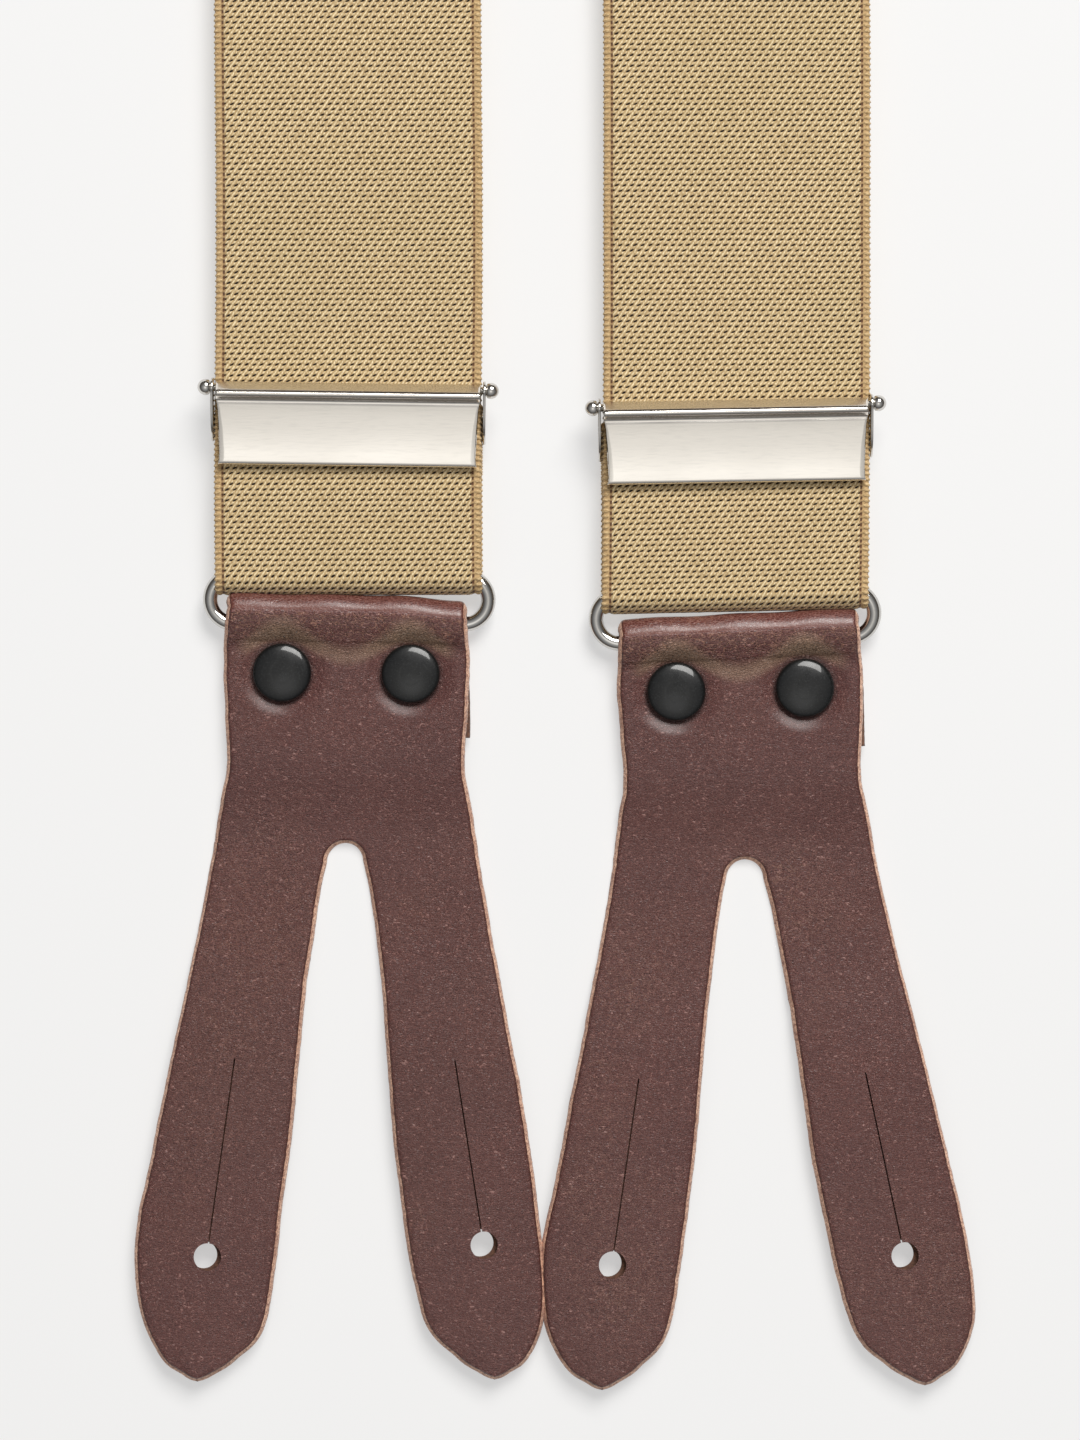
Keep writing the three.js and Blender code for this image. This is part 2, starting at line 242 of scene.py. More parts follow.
# ---- Forked leather tabs ----
# Each tab is one piece of 1.9 mm chestnut leather, cut with two legs, folded over the lower
# bar of the ring and riveted to itself. Its cut edges are left raw, pale and slightly hairy.
def srgb(red, green, blue):
    """A colour given as it looks on a screen, 0 to 255, in the linear values that shaders use."""
    linear = []
    for value in (red, green, blue):
        share = value / 255
        linear.append(share / 12.92 if share <= 0.04045 else ((share + 0.055) / 1.055) ** 2.4)
    return tuple(linear)


LEATHER = 1.9  # millimetres, like every size below
FOLD_RADIUS = 3.6
RING_HEIGHT = 3.6
BARS_APART = 9.05
BAR_BELOW_FOLD = 4.9
FLAP_LENGTH, FLAP_SHIFT = 25.5, 0.8
TIP_DEPTH = 146.4
CROTCH_DEPTH = 45.7
RIVET_SPREAD, RIVET_DEPTH = 12, 13.9
BACK_PLATE, STRETCH_FLAT = 0.7, 0.3  # under the flap, and what the rivet presses out of the leather
PRESSED_LINE, PRESSED_WAVE, CAP_PITCH, WAVE_ENDS = 9.2, 1.7, 24, 19
LEGS_FALL, LEGS_RISE, TIP_LIFT = (26, 47), (52, 92), 3
CAP_DENT, DENT_FROM, DENT_TO = 0.8, 5.0, 9.0
CAMBER, RIM_DROP, RIM_WIDTH = 0.3, 0.28, 0.3
FOLD_RIPPLE, RIPPLE_DEPTH, RIPPLE_WIDTH = 0.13, 2.6, 1.8
HOLE_SPREAD, HOLE_DEPTH, HOLE_RADIUS = 25.9, 121.3, 2.55
SLIT_SPREAD, SLIT_DEPTH, SLIT_WIDTH = 20.6, 86, 0.26
# How each tab is turned on the table and shifted along the bar, how far its legs spread, how much
# its fold rises, slants and droops at one end, and how crackled its grain is.
TAB_STYLE = {
    "left": {"turn": -0.5, "shift": -0.4, "spread": 0.0, "rise": 1.15, "slant": -0.7, "droop": 1.0,
             "seed": 3, "crackled": 0.12},
    "right": {"turn": 1.6, "shift": 0.6, "spread": 2.1, "rise": 0.5, "slant": 1.2, "droop": 0.0,
              "seed": 8, "crackled": 0.55},
    "back": {"turn": 0.0, "shift": 0.0, "spread": 0.0, "rise": 0.45, "slant": 0.0, "droop": 0.0,
             "seed": 5, "crackled": 0.2},
}
LEG_SHAPE = {  # each leg: tip outwards, outer side outwards, tip longer, hole outwards, hole lower
    "left": ((-0.5, 1.4, 0.0, -0.85, 1.6), (1.6, 0.0, -0.85, 0.64, -1.05)),
    "right": ((-0.2, 1.05, -2.5, -0.9, -0.9), (1.3, 0.4, -1.7, -0.3, -1.1)),
    "back": ((0.0, 0.3, 0.0, 0.0, 0.0), (0.0, 0.3, 0.0, 0.0, 0.0)),
}
CROTCH_ARCH = 3.4
OUTER_EDGE = (
    (22.3, -30), (22.3, -10), (22.3, 0), (23, 14), (22.2, 30), (23.3, 37.4), (26.4, 56.2), (30, 75),
    (33.6, 93.6), (36.5, 112.3), (37.4, 124), (36.9, 134.8), (33.6, 142.3), (30, 145.1), (28.5, 146.05),
    (27.2, TIP_DEPTH),
)
INNER_EDGE = (
    (3.4, CROTCH_DEPTH + 3.4), (4.8, 56.2), (7.3, 75), (8.8, 93.6), (10.9, 112.3),
    (14.2, 134.8), (20, 142.3), (24.3, 145.2), (25.9, 146.05), (27.2, TIP_DEPTH),
)
RAW_WIDTH = 0.65  # how far the cut slopes outwards from the grain side to the flesh side


def smooth_step(value, low, high):
    share = np.clip((value - low) / (high - low), 0, 1)
    return share * share * (3 - 2 * share)


def spread_at(depth, spread):
    return spread * np.clip((depth - CROTCH_DEPTH) / 79, 0, 1.1) ** 1.3


def smooth_line(points, count):
    """A smooth line through the points, drawn with many closely spaced ones."""
    ends = np.vstack([2 * points[0] - points[1], points, 2 * points[-1] - points[-2]])
    t = np.linspace(0, len(points) - 1 - 1e-9, count)
    i = t.astype(int)
    f = (t - i)[:, None]
    p0, p1, p2, p3 = (ends[i + k] for k in range(4))
    return 0.5 * (
        2 * p1 + (p2 - p0) * f + (2 * p0 - 5 * p1 + 4 * p2 - p3) * f**2
        + (3 * p1 - p0 - 3 * p2 + p3) * f**3
    )


def cut_line(knots, spread, arch=False):
    """A cut edge as x and depth, with the direction into the leather at each point."""
    points = np.array(knots, float)
    if arch:
        turn = np.radians(np.linspace(0, 84, 9))
        start = np.stack([np.sin(turn), 1 - np.cos(turn)], 1) * CROTCH_ARCH + (0, CROTCH_DEPTH)
        points = np.vstack([start, points])
    points[:, 0] += spread_at(points[:, 1], spread)
    line = smooth_line(points, 1500)
    line[:, 1] = np.maximum.accumulate(line[:, 1])
    along = np.gradient(line, axis=0)
    along /= np.linalg.norm(along, axis=1)[:, None] + 1e-12
    inward = np.stack([along[:, 1], -along[:, 0]], 1) * (1 if arch else -1)
    if not arch:
        inward[:, 1] = -np.abs(inward[:, 1])
    return line, inward


def pressed_line(x):
    """How far below the fold the leather comes down flat: sooner over the caps, later between them."""
    from_cap = np.minimum(np.abs(x), WAVE_ENDS) - RIVET_SPREAD
    return PRESSED_LINE - PRESSED_WAVE * np.cos(2 * np.pi * from_cap / CAP_PITCH)


def front_height(depth, x):
    """Height of the middle of the front layer of leather over the table."""
    at_rivets = BACK_PLATE + LEATHER * 1.5 + STRETCH_FLAT
    top = RING_HEIGHT + FOLD_RADIUS - LEATHER / 2
    low = LEATHER / 2
    height = at_rivets + (top - at_rivets) * (1 - smooth_step(depth, 4.6, pressed_line(x) + 0.5))
    height = height + (low - at_rivets) * smooth_step(depth, *LEGS_FALL)
    return height + TIP_LIFT * smooth_step(depth, *LEGS_RISE)


def tab_path():
    """The tab's middle line, from the tips over the fold to the end of the flap.

    Gives y and z for each row, and how far each row is below the fold (negative on the flap).
    """
    tip = TIP_DEPTH - np.array([0, 0.03, 0.08, 0.16, 0.28, 0.45, 0.7, 1.0, 1.4, 1.9, 2.5])
    legs = np.arange(TIP_DEPTH - 3.2, CROTCH_DEPTH + 4.2, -0.72)
    arch = CROTCH_DEPTH + np.array([3.7, 3.2, 2.7, 2.2, 1.75, 1.35, 1.0, 0.7, 0.45, 0.26, 0.12, 0.04, 0])
    body = np.arange(CROTCH_DEPTH - 0.7, 20, -0.7)
    depth = np.concatenate([tip, legs, arch, body, np.linspace(19.6, FOLD_RADIUS, 44)])
    front = np.stack([-depth, front_height(depth, RIVET_SPREAD)], 1)
    turn = np.radians(np.linspace(84, -90, 30))
    radius = FOLD_RADIUS - LEATHER / 2
    fold = np.stack([-FOLD_RADIUS + radius * np.cos(turn), RING_HEIGHT + radius * np.sin(turn)], 1)
    back = np.linspace(FOLD_RADIUS + 0.6, FLAP_LENGTH, 40)
    under_fold, at_plate = RING_HEIGHT - radius, BACK_PLATE + LEATHER / 2
    flap_height = under_fold + (at_plate - under_fold) * smooth_step(back, 5, 10.5)
    path = np.vstack([front, fold, np.stack([-back, flap_height], 1)])
    below = np.concatenate([depth, FOLD_RADIUS * np.cos(turn), -back])
    return path, below, len(front)


def tab_mesh(side):
    """The tab's two skins and its cut edges, in millimetres, with the top of the fold at the origin."""
    style = TAB_STYLE[side]
    path, below, front_rows = tab_path()
    along = np.gradient(path, axis=0)
    along /= np.linalg.norm(along, axis=1)[:, None]
    outward = np.stack([-along[:, 1], along[:, 0]], 1)
    rows = len(path)
    on_front = np.arange(rows) < front_rows
    depth = np.where(on_front, below, 0)
    outer_line, outer_in = cut_line(OUTER_EDGE, style["spread"])
    inner_line, inner_in = cut_line(INNER_EDGE, style["spread"], arch=True)

    def at_rows(line, values, **ends):
        return np.interp(below, line[:, 1], values, **ends)

    split = on_front & (below > CROTCH_DEPTH + 1e-6)
    outer_x = at_rows(outer_line, outer_line[:, 0])
    outer_n = np.stack([at_rows(outer_line, part) for part in outer_in.T], 1)
    inner_x = at_rows(inner_line, inner_line[:, 0], left=0)
    inner_n = np.stack([at_rows(inner_line, part) for part in inner_in.T], 1)
    inner_x[0] = outer_x[0]
    inner_n[0] = outer_n[0] = (0, -1)
    fade = np.exp(-np.clip(CROTCH_DEPTH - depth, 0, 60) / 1.5)
    inner_n = np.where(split[:, None], inner_n, np.stack([0 * fade, -fade], 1))
    flap_shift = FLAP_SHIFT * smooth_step(-below, 4, 16)
    random = np.random.default_rng(style["seed"])
    ragged = np.cumsum(random.normal(0, 0.03, (4, rows)), axis=1)
    ragged -= np.array([np.convolve(np.pad(line, 20, "edge"), np.ones(41) / 41, "valid") for line in ragged])
    columns = 34
    share = np.linspace(0, 1, columns)
    share = share - 0.09 * np.sin(2 * np.pi * share)
    verts, faces, kinds, pattern = [], [], [], []
    rows_of = {}
    for half, sign in enumerate((-1, 1)):
        tip_out, side_out, longer = LEG_SHAPE[side][half][:3]
        at_tip = np.clip((TIP_DEPTH - depth) / 3, 0, 1)
        wander_in = ragged[half] * smooth_step(inner_x, 1, 4) * at_tip
        wander_out = ragged[half + 2] * at_tip
        for skin, lift in (("top", LEATHER / 2), ("under", -LEATHER / 2)):
            inset = RAW_WIDTH if skin == "top" else 0
            grid = []
            for k in range(rows):
                start = np.array([inner_x[k] + wander_in[k], below[k]]) + inset * inner_n[k]
                end = np.array([outer_x[k] + wander_out[k], below[k]]) + inset * outer_n[k]
                x = sign * (start[0] + (end[0] - start[0]) * share)
                slide = (start[1] + (end[1] - start[1]) * share - below[k]) * on_front[k]
                width = end[0] - start[0]
                gap = (1 - share) * width
                if split[k]:
                    gap = np.minimum(gap, share * width)
                from_cap = np.hypot(np.abs(x) - RIVET_SPREAD, below[k] - RIVET_DEPTH)
                dent = CAP_DENT * (1 - smooth_step(from_cap, DENT_FROM, DENT_TO)) * on_front[k]
                if on_front[k]:
                    dent = dent + path[k, 1] - front_height(below[k], x)
                camber = CAMBER * np.sin(np.pi * share) * smooth_step(depth[k], 60, 110)
                rim = RIM_DROP * np.exp(-gap / RIM_WIDTH)
                near_fold = math.exp(-(((below[k] - RIPPLE_DEPTH) / RIPPLE_WIDTH) ** 2))
                ripple = FOLD_RIPPLE * np.sin(0.42 * x + style["seed"]) * near_fold
                rise = lift - np.sign(lift) * rim + camber + ripple
                y = path[k, 0] + rise * outward[k, 0] - slide
                z = path[k, 1] + rise * outward[k, 1] - dent
                y = y + x * math.radians(style["slant"]) * smooth_step(30 - depth[k], 0, 30)
                lift_here = style["rise"] - style["droop"] * smooth_step(x, 7, 23)
                y = y + lift_here * (1 - smooth_step(abs(below[k]), 1, 9))
                x = x + sign * tip_out * smooth_step(depth[k], 112, TIP_DEPTH)
                x = x + sign * side_out * share * math.exp(-(((depth[k] - HOLE_DEPTH + 0.3) / 15) ** 2))
                y = y - longer * smooth_step(depth[k], 95, TIP_DEPTH)
                if not on_front[k]:
                    x = x + flap_shift[k]
                grid.append(range(len(verts), len(verts) + columns))
                verts.extend(zip(x, y, z))
                pattern.extend((g, below[k], a, b) for g, a, b in zip(gap, from_cap, x))
            rows_of[sign, skin] = grid
            for k in range(rows - 1):
                for c in range(columns - 1):
                    quad = (grid[k][c], grid[k][c + 1], grid[k + 1][c + 1], grid[k + 1][c])
                    faces.append(quad if (sign > 0) != (skin == "under") else quad[::-1])
                    kinds.append(0 if skin == "top" else 1)

    def wall(tops, unders, bulge, flip):
        """The cut edge: a strip that bulges a little between the two skins."""
        grid = [tops]
        swell = np.ones(len(tops))
        swell[0] = swell[-1] = 0
        for step in (1, 2):
            line = []
            for t, u, amount in zip(tops, unders, swell):
                middle = np.array(verts[t]) * (1 - step / 3) + np.array(verts[u]) * (step / 3)
                line.append(len(verts))
                verts.append(tuple(middle + np.array(bulge) * amount))
                pattern.append((0, *pattern[t][1:]))
            grid.append(line)
        grid.append(unders)
        for a, b in zip(grid, grid[1:]):
            for k in range(len(tops) - 1):
                quad = (a[k], a[k + 1], b[k + 1], b[k])
                faces.append(quad[::-1] if flip else quad)
                kinds.append(2)

    legs = [k for k in range(rows) if on_front[k] and below[k] >= CROTCH_DEPTH - 1e-6]
    for sign in (-1, 1):
        top, under = rows_of[sign, "top"], rows_of[sign, "under"]
        last = columns - 1
        wall([r[last] for r in top], [r[last] for r in under], (0.07 * sign, 0, 0.03), sign < 0)
        wall([top[k][0] for k in legs], [under[k][0] for k in legs], (-0.07 * sign, 0, 0.03), sign > 0)
        wall(list(top[rows - 1]), list(under[rows - 1]), (0, 0, 0), sign < 0)
    return verts, faces, kinds, np.array(pattern) * MM


def local_to_table(side):
    """Places a tab drawn with its fold at the origin, legs towards -Y, in millimetres."""
    ring, turn = ring_place(side)
    style = TAB_STYLE[side]
    if side == "back":
        turn += math.pi
    place = Matrix.Translation(ring) @ Matrix.Rotation(turn, 4, "Z")
    fold = Vector((style["shift"], BAR_BELOW_FOLD - BARS_APART, -RING_HEIGHT)) * MM
    tilt = 0 if side == "back" else math.radians(style["turn"]) - turn
    return place @ Matrix.Translation(fold) @ Matrix.Rotation(tilt, 4, "Z") @ Matrix.Scale(MM, 4)


def grain_leather(name, seed, crackled, pressed=True):
    """Aniline leather: wavy grain, paler crackle where it is worn, marks of the fold and caps, and painted
    light: glints on the grain, shade in its pits and round the caps, and a lift over the caps.
    """
    material, n, shader = new_material(
        name, srgb(98, 62, 54), 0.4, Specular_IOR_Level=0.5, Coat_Weight=0.42, Coat_Roughness=0.26
    )
    place = n.mapped(place=(seed, seed * 0.7, 0))
    bend = n.add("ShaderNodeTexNoise", {"Scale": 330, "Detail": 3, "Vector": place})

    def cells(scale, stretch, wander):
        flat = n.mapped(scale=(1, stretch, 1), place=(seed, seed, 0))
        given = {0: bend.outputs["Color"], 1: (wander, wander, wander), 2: flat}
        moved = n.add("ShaderNodeVectorMath", given, operation="MULTIPLY_ADD")
        given = {"Scale": scale, "Vector": moved.outputs[0]}
        return n.add("ShaderNodeTexVoronoi", given, feature="DISTANCE_TO_EDGE").outputs["Distance"]

    pebble_edge = cells(1500, 1.9, 0.0012)
    pebble = n.ramp(pebble_edge, 0.0, 0.16)
    crease = n.ramp(cells(520, 2.4, 0.0042), 0.0, 0.11, 1, 0)
    crackle = n.ramp(cells(330, 1.3, 0.006), 0.0, 0.035, 1, 0)
    fine = n.noise(place, 2600, 4, 0.65)
    waves = n.noise(n.mapped(scale=(0.5, 1, 1), place=(seed, 0, 0)), 1900, 2, 0.5, 1.1)
    blotch = n.noise(place, 70, 4, 0.65)
    cloud = n.noise(place, 14, 3)
    edge, depth = n.pattern()
    worn = n.ramp(n.noise(place, 26, 3), 0.46, 0.66)
    crinkle = n.times(worn, 0.3)
    if pressed:
        fold = n.times(n.ramp(depth, 0.0026, 0.004), n.ramp(depth, 0.0055, 0.0095, 1, 0))
        crinkle = n.plus(fold, crinkle)

    colour = n.mix(n.ramp(blotch, 0.3, 0.7), srgb(93, 47, 43), srgb(102, 54, 48))
    colour = n.mix(n.ramp(cloud, 0.42, 0.75, 0, 0.35), colour, srgb(94, 54, 44))
    # Painted highlight: pale glints along the edges of the grain's cells, where the pebbles catch the light.
    painted_glint = n.times(n.ramp(pebble_edge, 0.0, 0.1, 1, 0), n.ramp(waves, 0.3, 0.6, 0.4, 0.9))
    colour = n.mix(painted_glint, colour, srgb(150, 110, 103))
    # Painted shade: the middles of the grain's cells are darkened to stand for the shade in its pits.
    pit_shade = n.times(n.ramp(pebble_edge, 0.1, 0.3), n.ramp(waves, 0.34, 0.56, 0.6, 0.35))
    colour = n.mix(pit_shade, colour, srgb(62, 29, 28))
    colour = n.mix(n.times(crackle, n.times(worn, crackled)), colour, srgb(158, 118, 104))
    colour = n.mix(n.times(crease, n.times(crinkle, 0.6)), colour, srgb(164, 118, 98))
    shine = n.ramp(waves, 0.35, 0.7, 0.5, 0.36)
    calm = 1.0
    if pressed:
        from_cap, x = n.pattern("pattern_more")
        sideways = n.math("MINIMUM", n.math("ABSOLUTE", x), WAVE_ENDS * MM)
        turn = n.times(n.minus(sideways, RIVET_SPREAD * MM), 2 * math.pi / (CAP_PITCH * MM))
        swing = n.math("COSINE", turn)
        # Paler arcs over the caps: partly the leather's own lighter tone where it is stretched over the
        # rivets, and partly painted light that lifts the slope above each cap out of its shade, more over the
        # caps than between them.
        arc = n.apart(depth, n.minus(0.0084, n.times(swing, 0.0022)))
        pale_arc_and_painted_light = n.times(n.ramp(arc, 0.0003, 0.0027, 1, 0), n.ramp(edge, 0.001, 0.005))
        pale_arc_and_painted_light = n.times(pale_arc_and_painted_light, n.ramp(blotch, 0.2, 0.6, 0.65, 1))
        pale_arc_and_painted_light = n.times(pale_arc_and_painted_light, n.ramp(swing, -1, 1, 0.5, 0.9))
        colour = n.mix(pale_arc_and_painted_light, colour, srgb(170, 140, 116))
        top_band = n.ramp(n.math("ABSOLUTE", depth), 0.0006, 0.0018, 0.45, 0)
        colour = n.mix(top_band, colour, srgb(118, 62, 46))
        # Painted shade: a dark ring in the leather just round each cap's rim.
        colour = n.mix(n.ramp(from_cap, 0.0054, 0.0066, 0.6, 0), colour, srgb(48, 28, 27))
        shine = n.minus(shine, n.ramp(n.apart(depth, 0.0022), 0.0012, 0.0026, 0.13, 0))
        calm = n.ramp(n.apart(depth, 0.0015), 0.0018, 0.0034, 0.12, 1)
    colour = n.mix(n.ramp(edge, 0.0001, 0.0005, 0.75, 0), colour, srgb(74, 30, 22))
    n.wire(colour, shader["Base Color"])
    n.wire(shine, shader["Roughness"])
    normal = n.bump(n.minus(1.0, n.times(crease, crinkle)), 0.0002, 0.7)
    normal = n.bump(n.times(waves, calm), 0.0003, 0.9, normal)
    normal = n.bump(n.times(pebble, calm), 0.00018, 0.9, normal)
    n.wire(n.bump(fine, 0.00003, 0.5, normal), shader["Normal"])
    return material


def suede(name, light, dark):
    """Loose leather fibre, as on the flesh side and on a cut edge."""
    material, n, shader = new_material(name, light, 0.92, Sheen_Weight=0.25, Sheen_Roughness=0.6)
    place = n.mapped()
    nap = n.noise(place, 1900, 5, 0.75)
    patch = n.noise(place, 260, 3)
    colour = n.mix(n.ramp(nap, 0.34, 0.62), dark, light)
    n.wire(n.mix(n.ramp(patch, 0.42, 0.7, 0, 0.45), colour, dark), shader["Base Color"])
    n.wire(n.bump(nap, 0.00012, 0.9), shader["Normal"])
    return material


raw_edge = suede("raw_edge", srgb(236, 190, 160), srgb(128, 72, 52))
flesh_side = suede("flesh_side", srgb(120, 82, 62), srgb(74, 46, 36))


def settled(piece, modifier):
    """The piece as the modifier makes it, as a plain mesh, with the modifier gone."""
    mesh = bpy.data.meshes.new_from_object(piece.evaluated_get(bpy.context.evaluated_depsgraph_get()))
    piece.modifiers.remove(modifier)
    return mesh


def cut_through(piece, cutter):
    """Takes the cutter's shape out of the piece, and leaves its finish on the cut."""
    modifier = piece.modifiers.new("cut", "BOOLEAN")
    modifier.operation = "DIFFERENCE"
    modifier.solver = "EXACT"
    modifier.use_hole_tolerant = True
    modifier.material_mode = "TRANSFER"
    modifier.object = cutter
    piece.data = settled(piece, modifier)
    bpy.data.objects.remove(cutter)


GRAIN_HEIGHT = 4.9
SLIT_FLOOR = 3.35  # the knife goes right through, but below this the slit's lips touch
HOLE_LEAN = 0.45
CUT_FROM, CUT_TO = -2, 12


def prism(outline, low, material, lean=0.0):
    """A cutter with this outline where the grain lies, leaning to the left as it goes down."""
    count = len(outline)
    verts = [
        (x + lean * (z - GRAIN_HEIGHT), y - 0.3 * lean * (z - GRAIN_HEIGHT), z)
        for z in (low, CUT_TO) for x, y in outline
    ]
    faces = [tuple(range(count))[::-1], tuple(range(count, 2 * count))]
    faces += [(i, (i + 1) % count, count + (i + 1) % count, count + i) for i in range(count)]
    block = add_mesh("cutter", verts, faces, [material], smooth=False)
    merged(block, 1e-6)
    return block


def hole_and_slit(side, half):
    """The outlines of one leg's button hole and of the slit that runs up from it."""
    sign = (-1, 1)[half]
    spread = TAB_STYLE[side]["spread"]
    out, lower = LEG_SHAPE[side][half][3:]
    hole = Vector((sign * (HOLE_SPREAD + spread_at(HOLE_DEPTH, spread) + out), -HOLE_DEPTH - lower))
    top = Vector((sign * (SLIT_SPREAD + spread_at(SLIT_DEPTH, spread) + out / 2), -SLIT_DEPTH))
    along = (top - hole).normalized()
    across = Vector((along.y, -along.x)) * SLIT_WIDTH / 2
    ring = [
        (hole.x + HOLE_RADIUS * math.cos(a), hole.y + HOLE_RADIUS * math.sin(a))
        for a in np.linspace(0, 2 * math.pi, 40, endpoint=False)
    ]
    low = hole + along * (HOLE_RADIUS - 0.25)
    slit = [(p.x, p.y) for p in (low - across, low + across, top + across, top + along * 0.3, top - across)]
    return ring, slit


def merged(piece, gap):
    """Joins points closer than the gap, and turns every face outwards."""
    work = bmesh.new()
    work.from_mesh(piece.data)
    bmesh.ops.remove_doubles(work, verts=work.verts, dist=gap)
    bmesh.ops.recalc_face_normals(work, faces=work.faces)
    work.to_mesh(piece.data)
    work.free()


def fitted(piece, body, slot, *nodes):
    """The piece moves with this body and stands for these parts of the frame; the finish it is given is not
    used.
    """
    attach(piece, body)
    if nodes:
        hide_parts(*nodes)


def leather_tab(side):
    style = TAB_STYLE[side]
    grain = grain_leather(f"{side}_leather", style["seed"], style["crackled"])
    verts, faces, kinds, pattern = tab_mesh(side)
    tab = add_mesh(f"{side}_leather_tab", verts, faces, [grain, flesh_side, raw_edge], pattern=pattern)
    tab.data.polygons.foreach_set("material_index", kinds)
    merged(tab, 0.0004)
    for half in (0, 1):
        ring, slit = hole_and_slit(side, half)
        cut_through(tab, prism(ring, CUT_FROM, raw_edge, HOLE_LEAN))
        cut_through(tab, prism(slit, SLIT_FLOOR, raw_edge if side == "right" else flesh_side))
    tab.data.transform(local_to_table(side))
    tab.data.polygons.foreach_set("use_smooth", [True] * len(tab.data.polygons))
    fitted(tab, f"{side}_tab", "leather", f"{side}_tab")
    return tab


tabs = {side: leather_tab(side) for side in TAB_STYLE}


# ---- Fibres on the raw edges ----
# The cut edges of the leather are left as the knife left them, so short loose fibres stand out
# all round, some dark with dye and some pale.
def tree_with(name, sizes):
    """A geometry nodes tree that takes a geometry and these named sizes: its nodes, inputs and output."""
    tree = bpy.data.node_groups.new(name, "GeometryNodeTree")
    for end in ("INPUT", "OUTPUT"):
        tree.interface.new_socket("Geometry", in_out=end, socket_type="NodeSocketGeometry")
    for label, value in sizes.items():
        kind = "NodeSocketInt" if isinstance(value, int) else "NodeSocketFloat"
        tree.interface.new_socket(label, in_out="INPUT", socket_type=kind).default_value = value
    n = Nodes(tree)
    return n, n.add("NodeGroupInput").outputs, n.add("NodeGroupOutput").inputs[0]


def grown(source, n, name, **values):
    """Runs the tree on the source and gives what it makes as a plain mesh piece."""
    modifier = source.modifiers.new("grow", "NODES")
    modifier.node_group = n.tree
    for item in n.tree.interface.items_tree:
        if item.in_out == "INPUT" and item.name in values:
            modifier[item.identifier] = values[item.name]
    mesh = settled(source, modifier)
    mesh.name = name
    piece = bpy.data.objects.new(name, mesh)
    scene.collection.objects.link(piece)
    return piece


def finish_tree(n, made, out, material):
    """Every tree ends the same way: real faces, with their material set."""
    real = n.add("GeometryNodeRealizeInstances", {0: made})
    paint = n.add("GeometryNodeSetMaterial", {"Geometry": real.outputs[0], "Material": material})
    n.wire(paint.outputs[0], out)
    return n


FIBRE_SIZE = {"Per Area": 3e6, "Thickness": 0.0001, "Length": 0.00085}


def fibre_tree(material):
    n, size, out = tree_with("edge_fibres", {**FIBRE_SIZE, "Seed": 1})
    edge_only = n.add("GeometryNodeMaterialSelection", {"Material": raw_edge})
    spread = n.add("GeometryNodeDistributePointsOnFaces", {
        "Mesh": size["Geometry"], "Selection": edge_only.outputs[0], "Density": size["Per Area"],
        "Seed": size["Seed"],
    })
    hair = n.add("GeometryNodeMeshCone", {
        "Vertices": 3, "Radius Top": 0, "Radius Bottom": size["Thickness"], "Depth": size["Length"],
    })
    lean = n.add(
        "FunctionNodeRandomValue", {"Min": (-0.9, -0.9, -3), "Max": (0.9, 0.9, 3)}, data_type="FLOAT_VECTOR"
    )
    turned = n.add(
        "FunctionNodeRotateRotation",
        {"Rotation": spread.outputs["Rotation"], "Rotate By": lean.outputs["Value"]}, rotation_space="LOCAL",
    )
    share = n.add("FunctionNodeRandomValue", {2: 0.35, 3: 1.25}, data_type="FLOAT")
    put = n.add("GeometryNodeInstanceOnPoints", {
        "Points": spread.outputs["Points"], "Instance": hair.outputs["Mesh"],
        "Rotation": turned.outputs[0], "Scale": share.outputs[1],
    })
    shade = n.add("FunctionNodeRandomValue", data_type="FLOAT")
    keep = n.add(
        "GeometryNodeStoreNamedAttribute",
        {"Name": "shade", "Geometry": put.outputs[0], "Value": shade.outputs[1]},
        data_type="FLOAT", domain="INSTANCE",
    )
    return finish_tree(n, keep.outputs[0], out, material)


fibre_stuff, n, shader = new_material("loose_fibre", srgb(120, 70, 50), 0.85)
shade = n.ramp(n.add("ShaderNodeAttribute", attribute_name="shade").outputs["Fac"], 0.45, 0.6)
n.wire(n.mix(shade, srgb(52, 32, 26), srgb(206, 150, 118)), shader["Base Color"])
edge_fibres = fibre_tree(fibre_stuff)
for side, tab in tabs.items():
    fuzz = grown(tab, edge_fibres, f"{side}_edge_fibres", Seed=TAB_STYLE[side]["seed"], **FIBRE_SIZE)
    fitted(fuzz, f"{side}_tab", "leather")


# ---- Rivets ----
# A black domed cap with a turned rim is pressed over each post from the front, and spreads a
# thin flat plate against the flap behind. Two hold each tab closed.
def turned_piece(name, profile, material, place, steps=72):
    """A shape turned about Z from its profile of radius and height, in millimetres."""
    verts, faces, rings = [], [], []
    for radius, height in profile:
        if radius == 0:
            rings.append([len(verts)])
            verts.append((0, 0, height))
            continue
        rings.append(list(range(len(verts), len(verts) + steps)))
        angles = np.linspace(0, 2 * np.pi, steps, endpoint=False)
        verts.extend((radius * math.cos(a), radius * math.sin(a), height) for a in angles)
    for low, high in zip(rings, rings[1:]):
        for i in range(steps):
            j = (i + 1) % steps
            if len(low) == 1:
                faces.append((low[0], high[j], high[i]))
            elif len(high) == 1:
                faces.append((low[i], low[j], high[0]))
            else:
                faces.append((low[i], low[j], high[j], high[i]))
    piece = add_mesh(name, verts, faces, [material])
    merged(piece, 1e-5)
    piece.data.transform(place)
    return piece


